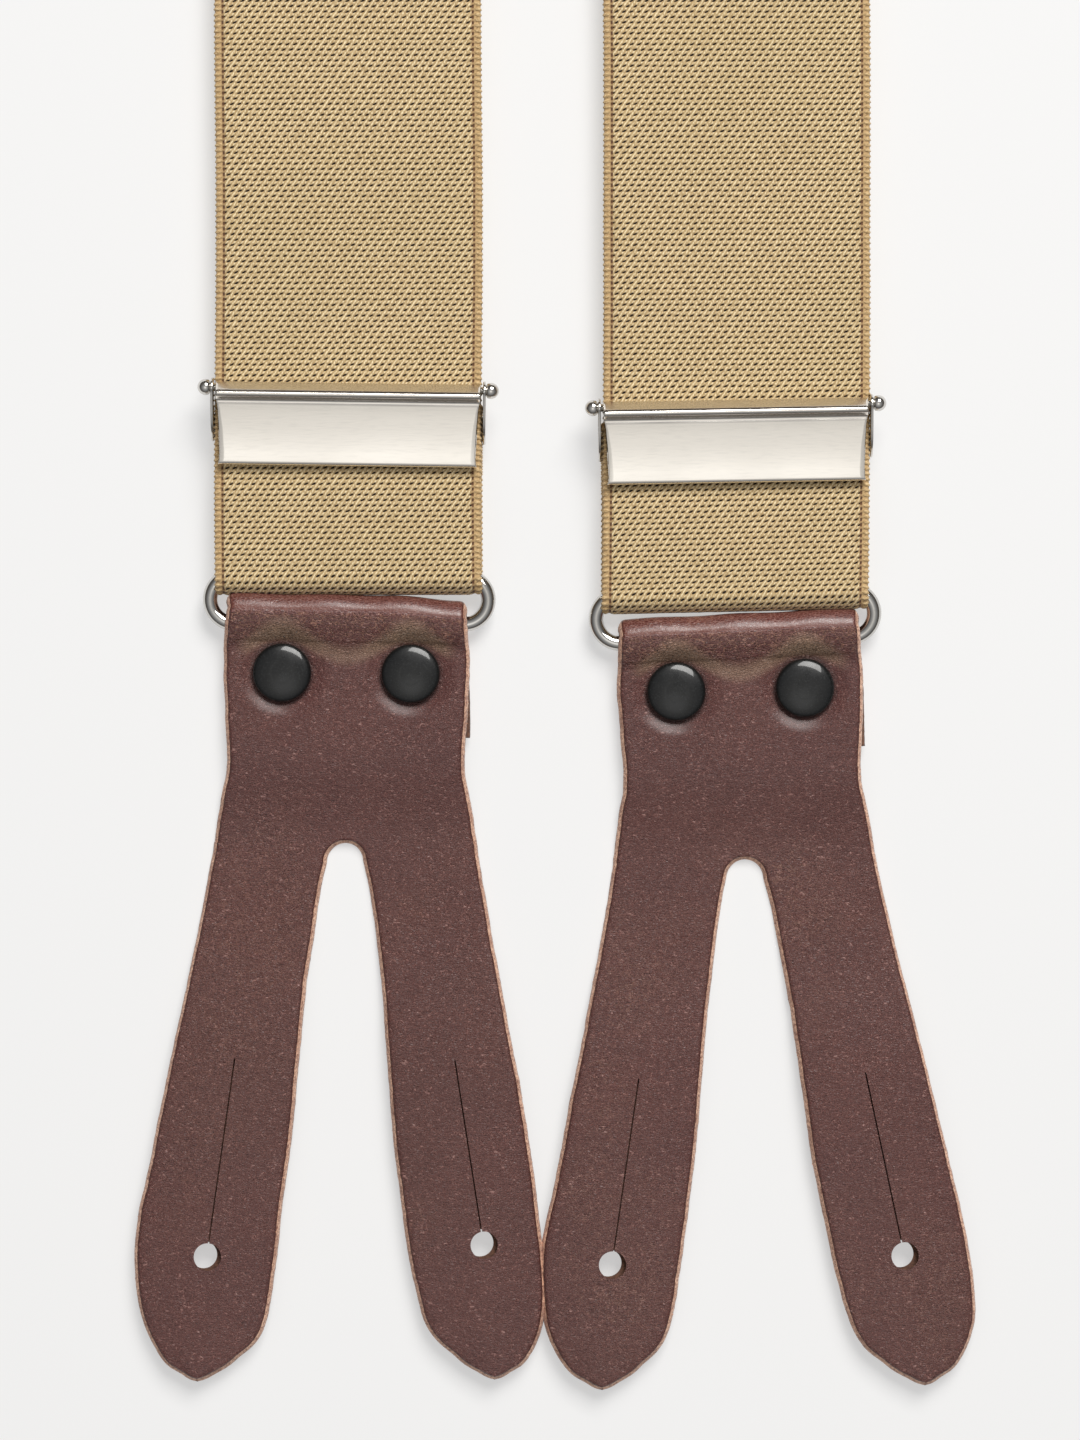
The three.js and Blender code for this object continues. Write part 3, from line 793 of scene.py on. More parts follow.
CAP_PROFILE = (
    (0, 3.9), (5.15, 3.9), (5.42, 4.4), (5.5, 4.75), (5.5, 5.0), (5.47, 5.2), (5.4, 5.38), (5.29, 5.53),
    (5.14, 5.66), (4.95, 5.77), (4.7, 5.86), (4.3, 5.97), (3.8, 6.08), (3.2, 6.18), (2.6, 6.26), (2.05, 6.31),
    (1.9, 6.305), (1.75, 6.32), (1.2, 6.36), (0.5, 6.385), (0, 6.39),
)
BACK_PROFILE = (
    (0, 0.62), (4.1, 0.62), (4.4, 0.5), (4.5, 0.3), (4.4, 0.12), (4.1, 0.05), (2.0, 0.05), (1.75, 0.12),
    (1.6, 0.3), (1.35, 0.42), (0, 0.45),
)
black_metal, n, shader = new_material(
    "black_rivet", srgb(20, 22, 23), 0.3,
    Coat_Weight=0.6, Coat_Roughness=0.07, Specular_IOR_Level=0.22,
)
place = n.mapped()
speckle = n.noise(place, 3200, 4, 0.7)
smear = n.noise(place, 420, 3)
n.wire(n.mix(n.ramp(speckle, 0.5, 0.75), srgb(13, 14, 15), srgb(38, 41, 41)), shader["Base Color"])
n.wire(n.plus(n.ramp(smear, 0.3, 0.7, 0.24, 0.34), n.ramp(speckle, 0.4, 0.7, 0, 0.1)), shader["Roughness"])
n.wire(n.bump(speckle, 0.00002, 0.4, n.bump(smear, 0.00005, 0.3)), shader["Normal"])

for side in TAB_STYLE:
    for hand, sign in (("a", -1), ("b", 1)):
        spot = local_to_table(side) @ Matrix.Translation((sign * RIVET_SPREAD, -RIVET_DEPTH, 0))
        cap = turned_piece(f"{side}_cap_{hand}", CAP_PROFILE, black_metal, spot)
        back = turned_piece(f"{side}_back_plate_{hand}", BACK_PROFILE[::-1], black_metal, spot, 48)
        fitted(cap, f"{side}_tab", "black_rivet", f"{side}_rivet_cap_{hand}")
        fitted(back, f"{side}_tab", "black_rivet", f"{side}_rivet_back_{hand}")


# ---- Wire rings ----
# Each ring is steel wire, a little under 3 mm, bent into a long oval, butt-welded and bright plated.
# The web runs round its upper bar and the leather round its lower bar.
def between_rows(rows):
    """The faces between each closed row of points and the next."""
    faces = []
    for a, b in zip(rows, rows[1:]):
        for i in range(len(a)):
            j = (i + 1) % len(a)
            faces.append((a[i], b[i], b[j], a[j]))
    return faces


def bright_metal(name, colour, roughness, haze):
    """Plated metal, slightly clouded and finely scratched along its length."""
    material, n, shader = new_material(name, colour, roughness, 1.0)
    cloud = n.noise(n.mapped(), 60, 3)
    scratch = n.noise(n.mapped(scale=(0.12, 1, 1)), 3000, 3, 0.6)
    duller = [share * 0.86 for share in colour]
    n.wire(n.ramp(cloud, 0.3, 0.7, roughness - haze, roughness + haze), shader["Roughness"])
    n.wire(n.mix(n.ramp(scratch, 0.45, 0.75, 0, 0.35), colour, duller), shader["Base Color"])
    n.wire(n.bump(scratch, 0.000004, 0.4, n.bump(cloud, 0.00012, 0.12)), shader["Normal"])
    return material


def swept_loop(points, radius, steps=18):
    """A closed round wire through points that lie in one flat plane."""
    count, verts = len(points), []
    for i, point in enumerate(points):
        along = Vector(points[(i + 1) % count]) - Vector(points[i - 1])
        across = Vector((along.y, -along.x, 0)).normalized()
        for s in range(steps):
            angle = 2 * math.pi * s / steps
            offset = radius * (math.cos(angle) * across + math.sin(angle) * Vector((0, 0, 1)))
            verts.append(Vector(point) + offset)
    rows = [range(i * steps, (i + 1) * steps) for i in (*range(count), 0)]
    return verts, between_rows(rows)


WIRE_RADIUS = 1.38
RING_HALF_LENGTH = 27.35
SLACK_IN_WEB = 0.25  # the ring lies this far up inside the web's loop
ring_metal = bright_metal("ring_wire", srgb(206, 204, 200), 0.08, 0.025)
end_radius = BARS_APART / 2
bar_half = RING_HALF_LENGTH - WIRE_RADIUS - end_radius
oval = []
for sign in (1, -1):
    for x in np.linspace(-bar_half, bar_half, 30, endpoint=False):
        oval.append((sign * x, (0 if sign > 0 else -BARS_APART), 0))
    for angle in np.radians(np.linspace(90, -90, 40, endpoint=False)):
        bow = end_radius * math.sin(angle)
        oval.append((sign * (bar_half + end_radius * math.cos(angle)), -end_radius + sign * bow, 0))
for side in TAB_STYLE:
    bar, turn = ring_place(side)
    if side == "back":
        turn += math.pi
    verts, faces = swept_loop(oval, WIRE_RADIUS)
    ring = add_mesh(f"{side}_wire_ring", verts, faces, [ring_metal])
    merged(ring, 1e-5)
    up = Matrix.Translation((0, SLACK_IN_WEB, 0))
    ring.data.transform(Matrix.Translation(bar) @ Matrix.Rotation(turn, 4, "Z") @ Matrix.Scale(MM, 4) @ up)
    fitted(ring, f"{side}_ring", "ring_wire", f"{side}_ring")


# ---- Adjuster frames and pins ----
# A pressed nickel-plated frame sits behind the web: two side ears joined by a flat rear bar.
# A pin with a ball on each end crosses in front of the web and carries the lever.
nickel = bright_metal("nickel_adjuster", srgb(238, 233, 225), 0.15, 0.03)
polished = bright_metal("polished_nickel", srgb(214, 211, 206), 0.1, 0.03)


def pin_place(side):
    """The pin's middle, with X along the pin, from the lever's hinge."""
    flip = joints[f"{side}_lever_flip"]
    across = -Vector(flip["axis"])
    turn = math.atan2(across.y, across.x)
    return Matrix.Translation(Vector(flip["pos_m"])) @ Matrix.Rotation(turn, 4, "Z") @ Matrix.Scale(MM, 4)


def bevelled(piece, width, segments=3, angle=35):
    """Rounds the piece's sharp edges for good."""
    modifier = piece.modifiers.new("edges", "BEVEL")
    modifier.width = width
    modifier.segments = segments
    modifier.limit_method = "ANGLE"
    modifier.angle_limit = math.radians(angle)
    piece.data = settled(piece, modifier)


EAR_INNER, EAR_THICK = 25.05, 0.5
EAR_OUTLINE = (  # y and z from the pin
    (-8.8, -6.9), (-2.2, -6.9), (0.6, -5.6), (1.9, -3.4), (1.75, -0.6), (1.3, 0.75), (0.6, 1.35), (-0.3, 1.5),
    (-1.1, 1.1), (-3.4, 0.35), (-5.6, -0.35), (-7.2, -1.1), (-8.6, -2.4), (-9.6, -4.0), (-9.7, -5.7),
)


REAR_BAR = ((-9.2, -6.9), (-4.5, -6.9), (-4.5, -5.7), (-9.2, -5.7))


def frame_mesh(side):
    outline = smooth_line(np.array(EAR_OUTLINE + EAR_OUTLINE[:1], float), 70)[:-1]
    verts, faces = [], []
    for sign in (-1, 1):
        start = len(verts)
        for x in (EAR_INNER, EAR_INNER + EAR_THICK):
            verts.extend((sign * x, y, z) for y, z in outline)
        count = len(outline)
        faces.append([start + i for i in range(count)])
        faces.append([start + count + i for i in range(count)])
        for i in range(count):
            j = (i + 1) % count
            faces.append((start + i, start + j, start + count + j, start + count + i))
    frame_piece = add_mesh(f"{side}_frame", verts, faces, [polished])
    merged(frame_piece, 1e-5)
    bevelled(frame_piece, 0.14)
    verts = [(x, y, z) for x in (-EAR_INNER - 0.2, EAR_INNER + 0.2) for y, z in REAR_BAR]
    faces = [(3, 2, 1, 0), (4, 5, 6, 7)] + [(i, (i + 1) % 4, (i + 1) % 4 + 4, i + 4) for i in range(4)]
    rear_bar = add_mesh("rear_bar", verts, faces, [polished])
    merged(rear_bar, 1e-5)
    bevelled(rear_bar, 0.3)
    joined(frame_piece, rear_bar)
    return frame_piece


def joined(piece, extra, slot=0):
    """Adds the extra's mesh to the piece, with all its faces in the given material slot."""
    work = bmesh.new()
    work.from_mesh(piece.data)
    count = len(work.faces)
    work.from_mesh(extra.data)
    work.faces.ensure_lookup_table()
    for face in work.faces[count:]:
        face.material_index = slot
    work.to_mesh(piece.data)
    work.free()
    bpy.data.objects.remove(extra)


PIN_RADIUS, BALL_RADIUS, BALL_PLACE = 0.7, 1.5, 26.5
half_profile = [(PIN_RADIUS, 0), (PIN_RADIUS, EAR_INNER + 0.3), (1.0, EAR_INNER + EAR_THICK + 0.05)]
for angle in np.radians(np.arange(-25, 90, 8)):
    half_profile.append((BALL_RADIUS * math.cos(angle), BALL_PLACE + BALL_RADIUS * math.sin(angle)))
half_profile.append((0, BALL_PLACE + BALL_RADIUS))
pin_profile = [(r, -x) for r, x in half_profile[::-1]] + half_profile[1:]
for side in ("left", "right"):
    place = pin_place(side)
    frame_piece = frame_mesh(side)
    frame_piece.data.transform(place)
    pin = turned_piece(
        f"{side}_cross_pin", pin_profile, polished, place @ Matrix.Rotation(math.pi / 2, 4, "Y"), 32
    )
    fitted(frame_piece, f"{side}_adjuster", "nickel_adjuster", f"{side}_adjuster_frame")
    fitted(pin, f"{side}_adjuster", "nickel_adjuster", f"{side}_adjuster_pin")


# ---- Adjuster levers ----
# The lever is one nickel-plated pressing. Its upper edge is rolled round the pin, its face is
# dished with bevelled sides, its lower edge is rolled under, and teeth behind it grip the web.
LEVER_SECTION = (  # y and z from the pin, then half width, bevel width and bevel drop
    (-2.45, 0.86, 24.4, 0.2, 0.05), (-2.2, 1.06, 24.5, 0.2, 0.05), (-1.95, 1.42, 24.5, 0.2, 0.1),
    (-1.7, 1.74, 24.5, 0.2, 0.15), (-1.4, 1.97, 24.5, 0.2, 0.2), (-1.1, 2.04, 24.5, 0.2, 0.2),
    (-0.8, 1.93, 24.5, 0.2, 0.2), (-0.45, 1.64, 24.5, 0.2, 0.2), (-0.1, 1.26, 24.5, 0.2, 0.15),
    (0.3, 0.8, 24.5, 0.2, 0.1), (0.66, 0.36, 24.5, 0.2, 0.05), (0.94, -0.04, 24.5, 0, 0),
    (1.12, -0.4, 24.5, 0, 0), (1.14, -0.78, 24.5, 0, 0), (0.98, -1.14, 24.5, 0, 0), (0.6, -1.4, 24.5, 0, 0),
    (0, -1.5, 24.5, 0, 0), (-0.7, -1.4, 24.5, 0, 0), (-1.3, -1.1, 24.4, 0, 0), (-1.8, -0.7, 24.3, 0, 0),
    (-2.6, -0.45, 24.2, 0, 0), (-6, -0.6, 24.0, 0, 0), (-10.5, -0.8, 23.8, 0, 0), (-12.2, -1.1, 23.7, 0, 0),
    (-13.2, -1.45, 23.8, 0, 0), (-13.9, -1.5, 23.9, 0, 0), (-14.22, -1.25, 23.9, 0.3, 0.05),
    (-14.3, -0.9, 23.9, 0.4, 0.08), (-14.27, -0.45, 23.9, 0.5, 0.12), (-14.1, -0.08, 23.8, 0.6, 0.15),
    (-13.8, 0.1, 23.75, 0.7, 0.18), (-13.4, 0.18, 23.7, 0.8, 0.2), (-12.9, 0.25, 23.7, 0.85, 0.22),
    (-12.4, 0.32, 23.7, 0.85, 0.22), (-11.8, 0.395, 23.7, 0.85, 0.22), (-10.6, 0.5, 23.75, 0.8, 0.22),
    (-9.2, 0.595, 23.8, 0.75, 0.22), (-7.8, 0.67, 23.85, 0.7, 0.2), (-6.4, 0.73, 23.95, 0.6, 0.2),
    (-5.2, 0.775, 24.05, 0.5, 0.18), (-4.2, 0.805, 24.1, 0.4, 0.16), (-3.5, 0.82, 24.2, 0.35, 0.14),
    (-3.15, 0.825, 24.25, 0.3, 0.16), (-2.95, 0.81, 24.3, 0.3, 0.12), (-2.72, 0.79, 24.35, 0.2, 0.08),
)
LEAST_BEVEL, BEVEL_SHARE, BEVEL_CURVE = 0.3, 0.45, 1.2


def lever_mesh(name):
    """The lever's section drawn out along the pin, with its sides bevelled and turned down."""
    section = np.array(LEVER_SECTION)
    closed = np.vstack([section, section[:1]])
    section = smooth_line(closed, 4 * len(LEVER_SECTION) + 1)[:-1]
    y, z, half, bevel, drop = section.T
    verts, grid = [], []
    edges = [0, 0.0, 0.1, 0.3, 0.6, 0.9, 1.0, 1.15]
    stations = [(-1, e) for e in edges] + [(share, None) for share in np.linspace(-0.92, 0.92, 25)]
    stations += [(1, e) for e in edges[::-1]]
    for index, (sign, into) in enumerate(stations):
        if into is None:
            x = sign * (half - np.maximum(bevel, LEAST_BEVEL))
            low = 0
        else:
            x = sign * (half - np.maximum(bevel, LEAST_BEVEL) * into)
            low = BEVEL_SHARE * drop * (1 - min(into, 1)) ** BEVEL_CURVE
        if index in (0, len(stations) - 1):
            x = sign * (half + 0.1 * (z < 0.5))
            low = low + np.where((y < -2.6) & (y > -12.5) & (z > 0), 1.0, 0.05 * (z > 0))
        grid.append(range(len(verts), len(verts) + len(y)))
        verts.extend(zip(x, y, z - low))
    faces = between_rows(grid) + [list(grid[0]), list(grid[-1])[::-1]]
    return add_mesh(name, verts, faces, [nickel])


TOOTH_SIZE = {"Count": 22, "Row Length": 44.0, "Tooth Width": 0.72, "Tooth Height": 1.3}
TEETH_PLACE = (0, -3.7, -1.75)


def tooth_tree():
    n, size, out = tree_with("lever_teeth", TOOTH_SIZE)
    half = n.times(size["Row Length"], 0.5)
    start = n.add("ShaderNodeCombineXYZ", {0: n.times(half, -1.0)})
    end = n.add("ShaderNodeCombineXYZ", {0: half})
    line = n.add(
        "GeometryNodeMeshLine",
        {"Count": size["Count"], "Start Location": start.outputs[0], "Offset": end.outputs[0]},
        mode="END_POINTS",
    )
    tooth = n.add("GeometryNodeMeshCone", {
        "Vertices": 4, "Radius Bottom": size["Tooth Width"],
        "Radius Top": n.times(size["Tooth Width"], 0.35), "Depth": size["Tooth Height"],
    })
    put = n.add("GeometryNodeInstanceOnPoints", {
        "Points": line.outputs[0], "Instance": tooth.outputs["Mesh"], "Rotation": (math.pi, 0, math.pi / 4),
    })
    return finish_tree(n, put.outputs[0], out, nickel)


teeth = tooth_tree()
for side in ("left", "right"):
    lever = lever_mesh(f"{side}_lever_plate")
    merged(lever, 1e-5)
    row = grown(lever, teeth, "teeth", **TOOTH_SIZE)
    row.data.transform(Matrix.Translation(TEETH_PLACE))
    joined(lever, row)
    lever.data.transform(pin_place(side))
    fitted(lever, f"{side}_lever", "nickel_adjuster", f"{side}_adjuster_lever")


# ---- Elastic webs ----
# The web is 50 mm woven elastic, 1.5 mm thick. Tan floats lie in rows over dark rubber that
# shows between them as short slanted dashes, and each edge is bound by a fishbone selvedge.
WEB_HALF, WEB_THICK = 25, 1.5
DASH_PITCH, ROW_PITCH = 1.4, 1.01
DASH_LONG, DASH_HIGH, DASH_SLOPE = 0.37, 0.175, 0.36
SELVEDGE = 1.7
FOLD_TURN = 2.68  # from the ring's bar to the middle of the web
REAR_HEIGHT, FRONT_HEIGHT, ON_TABLE = 1.05, 6.15, 0.87


def web_material():
    """Tan floats over dark rubber, with the dashes between them placed along the web's own length."""
    material, n, shader = new_material(
        "elastic_web", srgb(200, 172, 128), 0.85,
        Sheen_Weight=0.2, Sheen_Roughness=0.5, Specular_IOR_Level=0.3,
    )
    x, along = n.pattern()
    place = n.mapped()
    across = n.times(x, 1 / (DASH_PITCH * MM))
    down = n.times(along, -1 / (2 * ROW_PITCH * MM))
    down = n.plus(down, n.times(n.minus(n.noise(place, 620, 2), 0.5), 0.1))
    across = n.plus(across, n.times(n.minus(n.noise(place, 500, 2), 0.5), 0.16))

    def dashes(shift):
        a = n.times(n.minus(n.math("FRACT", n.plus(across, 0.5 + shift)), 0.5), DASH_PITCH)
        b = n.times(n.minus(n.math("FRACT", n.plus(down, 0.5 + shift)), 0.5), 2 * ROW_PITCH)
        b = n.math("DIVIDE", n.minus(b, n.times(a, DASH_SLOPE)), DASH_HIGH)
        a = n.math("DIVIDE", a, DASH_LONG)
        return n.math("SQRT", n.plus(n.times(a, a), n.times(b, b)))

    dash = n.math("MINIMUM", dashes(0), dashes(0.5))
    dash = n.plus(dash, n.times(n.minus(n.noise(place, 2400, 3, 0.6), 0.5), 0.75))
    strand_crest_highlight = n.math("COSINE", n.times(n.minus(across, down), 4 * math.pi))
    strand_crest_highlight = n.ramp(strand_crest_highlight, -1, 0.9)
    ply = n.noise(n.mapped(scale=(1, 0.45, 1), turn=-0.6), 3600, 3, 0.6)
    # The diagonal strands follow the weave; their pale tops are painted highlight where the round yarn
    # catches the light.
    colour = n.mix(strand_crest_highlight, srgb(204, 174, 126), srgb(252, 232, 190))
    colour = n.mix(n.ramp(ply, 0.36, 0.6, 0.75, 0), colour, srgb(168, 138, 92))
    colour = n.mix(n.ramp(n.noise(place, 25, 2), 0.4, 0.7, 0, 0.12), colour, srgb(190, 170, 120))
    # Painted shade: a soft darkening round each dash, where the floats dip down to it.
    colour = n.mix(n.times(n.ramp(dash, 0.9, 2.2, 1, 0), 0.35), colour, srgb(150, 118, 74))
    colour = n.mix(n.ramp(dash, 0.95, 1.2, 1, 0), colour, srgb(24, 13, 5))
    edge = n.minus(WEB_HALF * MM, n.math("ABSOLUTE", x))
    in_edge = n.ramp(edge, (SELVEDGE + 0.1) * MM, (SELVEDGE + 0.3) * MM, 1, 0)
    colour = n.mix(in_edge, colour, srgb(196, 164, 118))
    dots = n.math("COSINE", n.times(along, 2 * math.pi / (ROW_PITCH * MM)))
    line = n.ramp(n.apart(edge, (SELVEDGE + 0.02) * MM), 0.00012, 0.0003, 1, 0)
    line = n.times(line, n.ramp(dots, -1, 0.4, 0.35, 1))
    n.wire(n.mix(n.times(line, 0.92), colour, srgb(84, 46, 28)), shader["Base Color"])
    height = n.plus(n.times(strand_crest_highlight, 0.45), n.ramp(dash, 0.4, 2.2))
    n.wire(n.bump(ply, 0.00008, 0.5, n.bump(height, 0.00022, 0.75)), shader["Normal"])
    return material


def thread_material(name, colour, roughness, dark, light, grain, **constants):
    """Twisted thread, lighter and darker along its plies."""
    material, n, shader = new_material(name, colour, roughness, **constants)
    ply = n.noise(n.mapped(scale=grain["scale"]), *grain["noise"])
    n.wire(n.mix(n.ramp(ply, *grain["spread"]), dark, light), shader["Base Color"])
    n.wire(n.bump(ply, 0.0001, grain["depth"]), shader["Normal"])
    return material


def thread_tree(name, rings, sizes, material):
    """Lays a long rounded loop of thread at each point, turned as the point's lean says."""
    n, size, out = tree_with(name, sizes)
    ball = n.add("GeometryNodeMeshUVSphere", {"Segments": 8, "Rings": rings, "Radius": 0.5})
    drawn_out = n.add("ShaderNodeCombineXYZ", {0: size["Length"], 1: size["Width"], 2: size["Height"]})
    lean = n.add("GeometryNodeInputNamedAttribute", {"Name": "lean"}, data_type="FLOAT_VECTOR")
    put = n.add("GeometryNodeInstanceOnPoints", {
        "Points": size["Geometry"], "Instance": ball.outputs["Mesh"],
        "Rotation": lean.outputs[0], "Scale": drawn_out.outputs[0],
    })
    soft = n.add("GeometryNodeSetShadeSmooth", {0: put.outputs[0]})
    return finish_tree(n, soft.outputs[0], out, material)


def laid(name, tree, places, leans, **sizes):
    """Runs a thread tree on these places and gives what it makes as a plain mesh piece."""
    spots = add_mesh("places", places, [], [])
    lean = spots.data.attributes.new("lean", "FLOAT_VECTOR", "POINT")
    lean.data.foreach_set("vector", np.array(leans).ravel())
    piece = grown(spots, tree, name, **sizes)
    bpy.data.objects.remove(spots)
    return piece


def even_rows(path, phase):
    """The path again, with a row every half pitch of the weave, and how far along each row is."""
    path = np.array(path, float)
    steps = np.linalg.norm(np.diff(path, axis=0), axis=1)
    along = np.concatenate([[0], np.cumsum(steps)])
    pitch = ROW_PITCH / 2
    first = math.ceil((along[0] + phase) / pitch - 1e-9) * pitch - phase
    rows = np.arange(first, along[-1] - 0.05, pitch)
    rows = np.concatenate([[0], rows[rows > 0.05], [along[-1]]])
    points = np.stack([np.interp(rows, along, path[:, i]) for i in range(path.shape[1])], 1)
    return points, rows + phase


FLOAT_COLUMNS = [i * DASH_PITCH / 2 for i in range(-32, 33)]
EDGE_COLUMNS = ((22.95, 0.68), (23.3, 0.52), (23.9, 0.5), (24.5, 0.36), (24.75, 0.0))
TOP_COLUMNS = [(-x, h) for x, h in EDGE_COLUMNS[::-1]]
TOP_COLUMNS += [(x, WEB_THICK / 2) for x in FLOAT_COLUMNS] + list(EDGE_COLUMNS)
UNDER_COLUMNS = [(24.5, -0.4), (23.5, -0.62)] + [(x, -WEB_THICK / 2) for x in (22, 12, 0, -12, -22)]
UNDER_COLUMNS += [(-23.5, -0.62), (-24.5, -0.4)]
DASH_SUNK, FLOAT_RAISED = 0.17, 0.03
RIB_SIZE = {"Length": 1.8, "Width": 0.98, "Height": 1.4}
elastic = web_material()
rib_thread = thread_material(
    "selvedge_thread", srgb(206, 176, 128), 0.8, srgb(170, 138, 92), srgb(226, 198, 150),
    {"scale": (0.5, 1.6, 1), "noise": (3400, 3, 0.6), "spread": (0.35, 0.68), "depth": 0.6},
    Sheen_Weight=0.2,
)
ribs = thread_tree("selvedge_ribs", 5, RIB_SIZE, rib_thread)


def web_strip(name, path, phase, place, seed, shift=lambda y: 0, slant=lambda y: 0):
    """A length of web along a path of y and z. Its outer face looks up where the path runs to -Y."""
    points, along = even_rows(path, phase)
    tangent = np.gradient(points, axis=0)
    tangent /= np.linalg.norm(tangent, axis=1)[:, None]
    outward = np.stack([tangent[:, 1], -tangent[:, 0]], 1)
    random = np.random.default_rng(seed)
    xs, heights = np.array(TOP_COLUMNS + UNDER_COLUMNS).T
    floats = np.abs(heights - WEB_THICK / 2) < 1e-6
    index = np.round(xs / (DASH_PITCH / 2)).astype(int)
    rows, count = len(points), len(xs)
    verts, pattern = np.empty((rows, count, 3)), np.empty((rows, count, 2))
    ribs_at, leans = [], []
    wander = np.convolve(np.cumsum(random.normal(0, 0.02, rows + 60)), np.ones(61) / 61, "valid")
    wander -= np.linspace(wander[0], wander[-1], rows)
    for k, ((y, z), (out_y, out_z)) in enumerate(zip(points, outward)):
        half_row = int(round(along[k] / (ROW_PITCH / 2)))
        is_dash = floats & (half_row % 2 == 0) & ((index + half_row // 2) % 2 == 0)
        lift = heights - np.where(is_dash, DASH_SUNK, 0) + np.where(floats & ~is_dash, FLOAT_RAISED, 0)
        lift = lift + floats * random.normal(0, 0.012, count)
        middle, skew = shift(y) + wander[k], slant(y)
        verts[k] = np.stack([xs + middle, y + out_y * lift + xs * skew, z + out_z * lift], 1)
        pattern[k] = np.stack([xs, np.full(count, along[k])], 1)
        if half_row % 2 == 1 and 0 < k < rows - 1:
            for sign in (-1, 1):
                edge = sign * (WEB_HALF - SELVEDGE / 2 - 0.02)
                ribs_at.append((edge + middle, y + out_y * 0.02 + edge * skew, z + out_z * 0.02))
                leans.append((-math.atan2(out_y, out_z), 0, -sign * 0.2 + random.normal(0, 0.04)))
    grid = [range(k * count, (k + 1) * count) for k in range(rows)]
    faces = between_rows(grid) + [list(grid[0]), list(grid[-1])[::-1]]
    web = add_mesh(
        name, verts.reshape(-1, 3), faces, [elastic, rib_thread], pattern=pattern.reshape(-1, 2) * MM
    )
    merged(web, 0)
    joined(web, laid("ribs", ribs, ribs_at, leans, **RIB_SIZE), 1)
    web.data.transform(place)
    return web, float(along[-1] - along[0])


def eased_path(knots, step=0.5):
    """Points along y with the height eased from knot to knot."""
    path = []
    for (y0, z0), (y1, z1) in zip(knots, knots[1:]):
        count = max(2, int(abs(y1 - y0) / step))
        for t in np.linspace(0, 1, count, endpoint=False):
            path.append((y0 + (y1 - y0) * t, z0 + (z1 - z0) * t * t * (3 - 2 * t)))
    path.append(knots[-1])
    return path


shoulder_y = joints["left_shoulder_fold"]["pos_m"][1] / MM
patch_low, patch_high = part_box("back_patch_top")
patch_start, patch_end = patch_low[1] / MM, patch_high[1] / MM
IN_PATCH = LEATHER + 0.3 + WEB_THICK / 2
WEB_SPLIT = patch_start + 24
JOIN_BELOW_SHOULDER, RISE_BELOW_SHOULDER = 100, 266
TAIL_TURN, TAIL_HEIGHT, TAIL_END = 1.65, 2.7, 4.35  # the sewn end round the adjuster's rear bar
REAR_BAR_ABOVE, TAIL_SEWN_ABOVE = 30, 19
FOLD_SLANT = {"left": math.radians(0.15), "right": math.radians(1.2)}
SIDE_SIGN = {"left": -1, "right": 1}



def half_turn(y, z, radius, start, steps):
    """Points of a half circle about this y and z."""
    angles = np.radians(np.linspace(start, start + 180, steps))
    return [(y + radius * math.cos(a), z + radius * math.sin(a)) for a in angles]


for side, sign in SIDE_SIGN.items():
    bar, _ = ring_place(side)
    bar_x, bar_y = bar.x / MM, bar.y / MM
    end_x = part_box("back_web")[0][0] / MM + WEB_HALF + sign * (WEB_HALF + 0.4)

    def drift(y, bar_x=bar_x, end_x=end_x):
        """How the strap draws in from the shoulder to the patch."""
        share = min(max((y - shoulder_y) / (WEB_SPLIT - shoulder_y) / 0.85, 0), 1)
        return bar_x + (end_x - bar_x) * share**3 * (share * (6 * share - 15) + 10)

    def lean_of_fold(y, bar_y=bar_y, side=side):
        return FOLD_SLANT[side] * float(smooth_step(bar_y + 60 - y, 0, 55))

    join_y, raised_y = shoulder_y - JOIN_BELOW_SHOULDER, shoulder_y - RISE_BELOW_SHOULDER
    rear_path = eased_path(
        [(WEB_SPLIT - 0.3, IN_PATCH), (patch_start - 8, IN_PATCH), (patch_start - 45, ON_TABLE),
         (shoulder_y, ON_TABLE), (join_y, ON_TABLE)]
    )
    front_path = eased_path(
        [(join_y, ON_TABLE), (raised_y + 40, ON_TABLE), (raised_y, FRONT_HEIGHT),
         (bar_y + 0.3, FRONT_HEIGHT)]
    ) + half_turn(bar_y, RING_HEIGHT, FOLD_TURN, 90, 26) + [(bar_y + 1, REAR_HEIGHT)]
    tail_path = [(bar_y + 1, REAR_HEIGHT)] + half_turn(
        bar_y + REAR_BAR_ABOVE, TAIL_HEIGHT, TAIL_TURN, -90, 20
    ) + [(bar_y + TAIL_SEWN_ABOVE, TAIL_END)]
    strap, loop, adjuster = f"{side}_strap", f"{side}_loop", f"{side}_adjuster"
    phase = 0
    for label, path, seed, bodies, (start_y, end_y), node in (
        ("rear_web", rear_path, 11, ("root", strap), (shoulder_y + 1, shoulder_y - 46), "web_rear"),
        ("front_web", front_path, 21, (strap, loop), (join_y - 12, bar_y + 60), "web_front"),
        ("sewn_tail", tail_path, 31, (loop, adjuster), (bar_y + 1.5, bar_y + 25), "web_loop"),
    ):
        lean = (lambda y: 0) if label == "rear_web" else lean_of_fold
        web, length = web_strip(
            f"{side}_{label}", path, phase, Matrix.Scale(MM, 4), seed + sign, drift, lean
        )
        phase += length
        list(bodies)
        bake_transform(web)
        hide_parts(f"{side}_{node}")


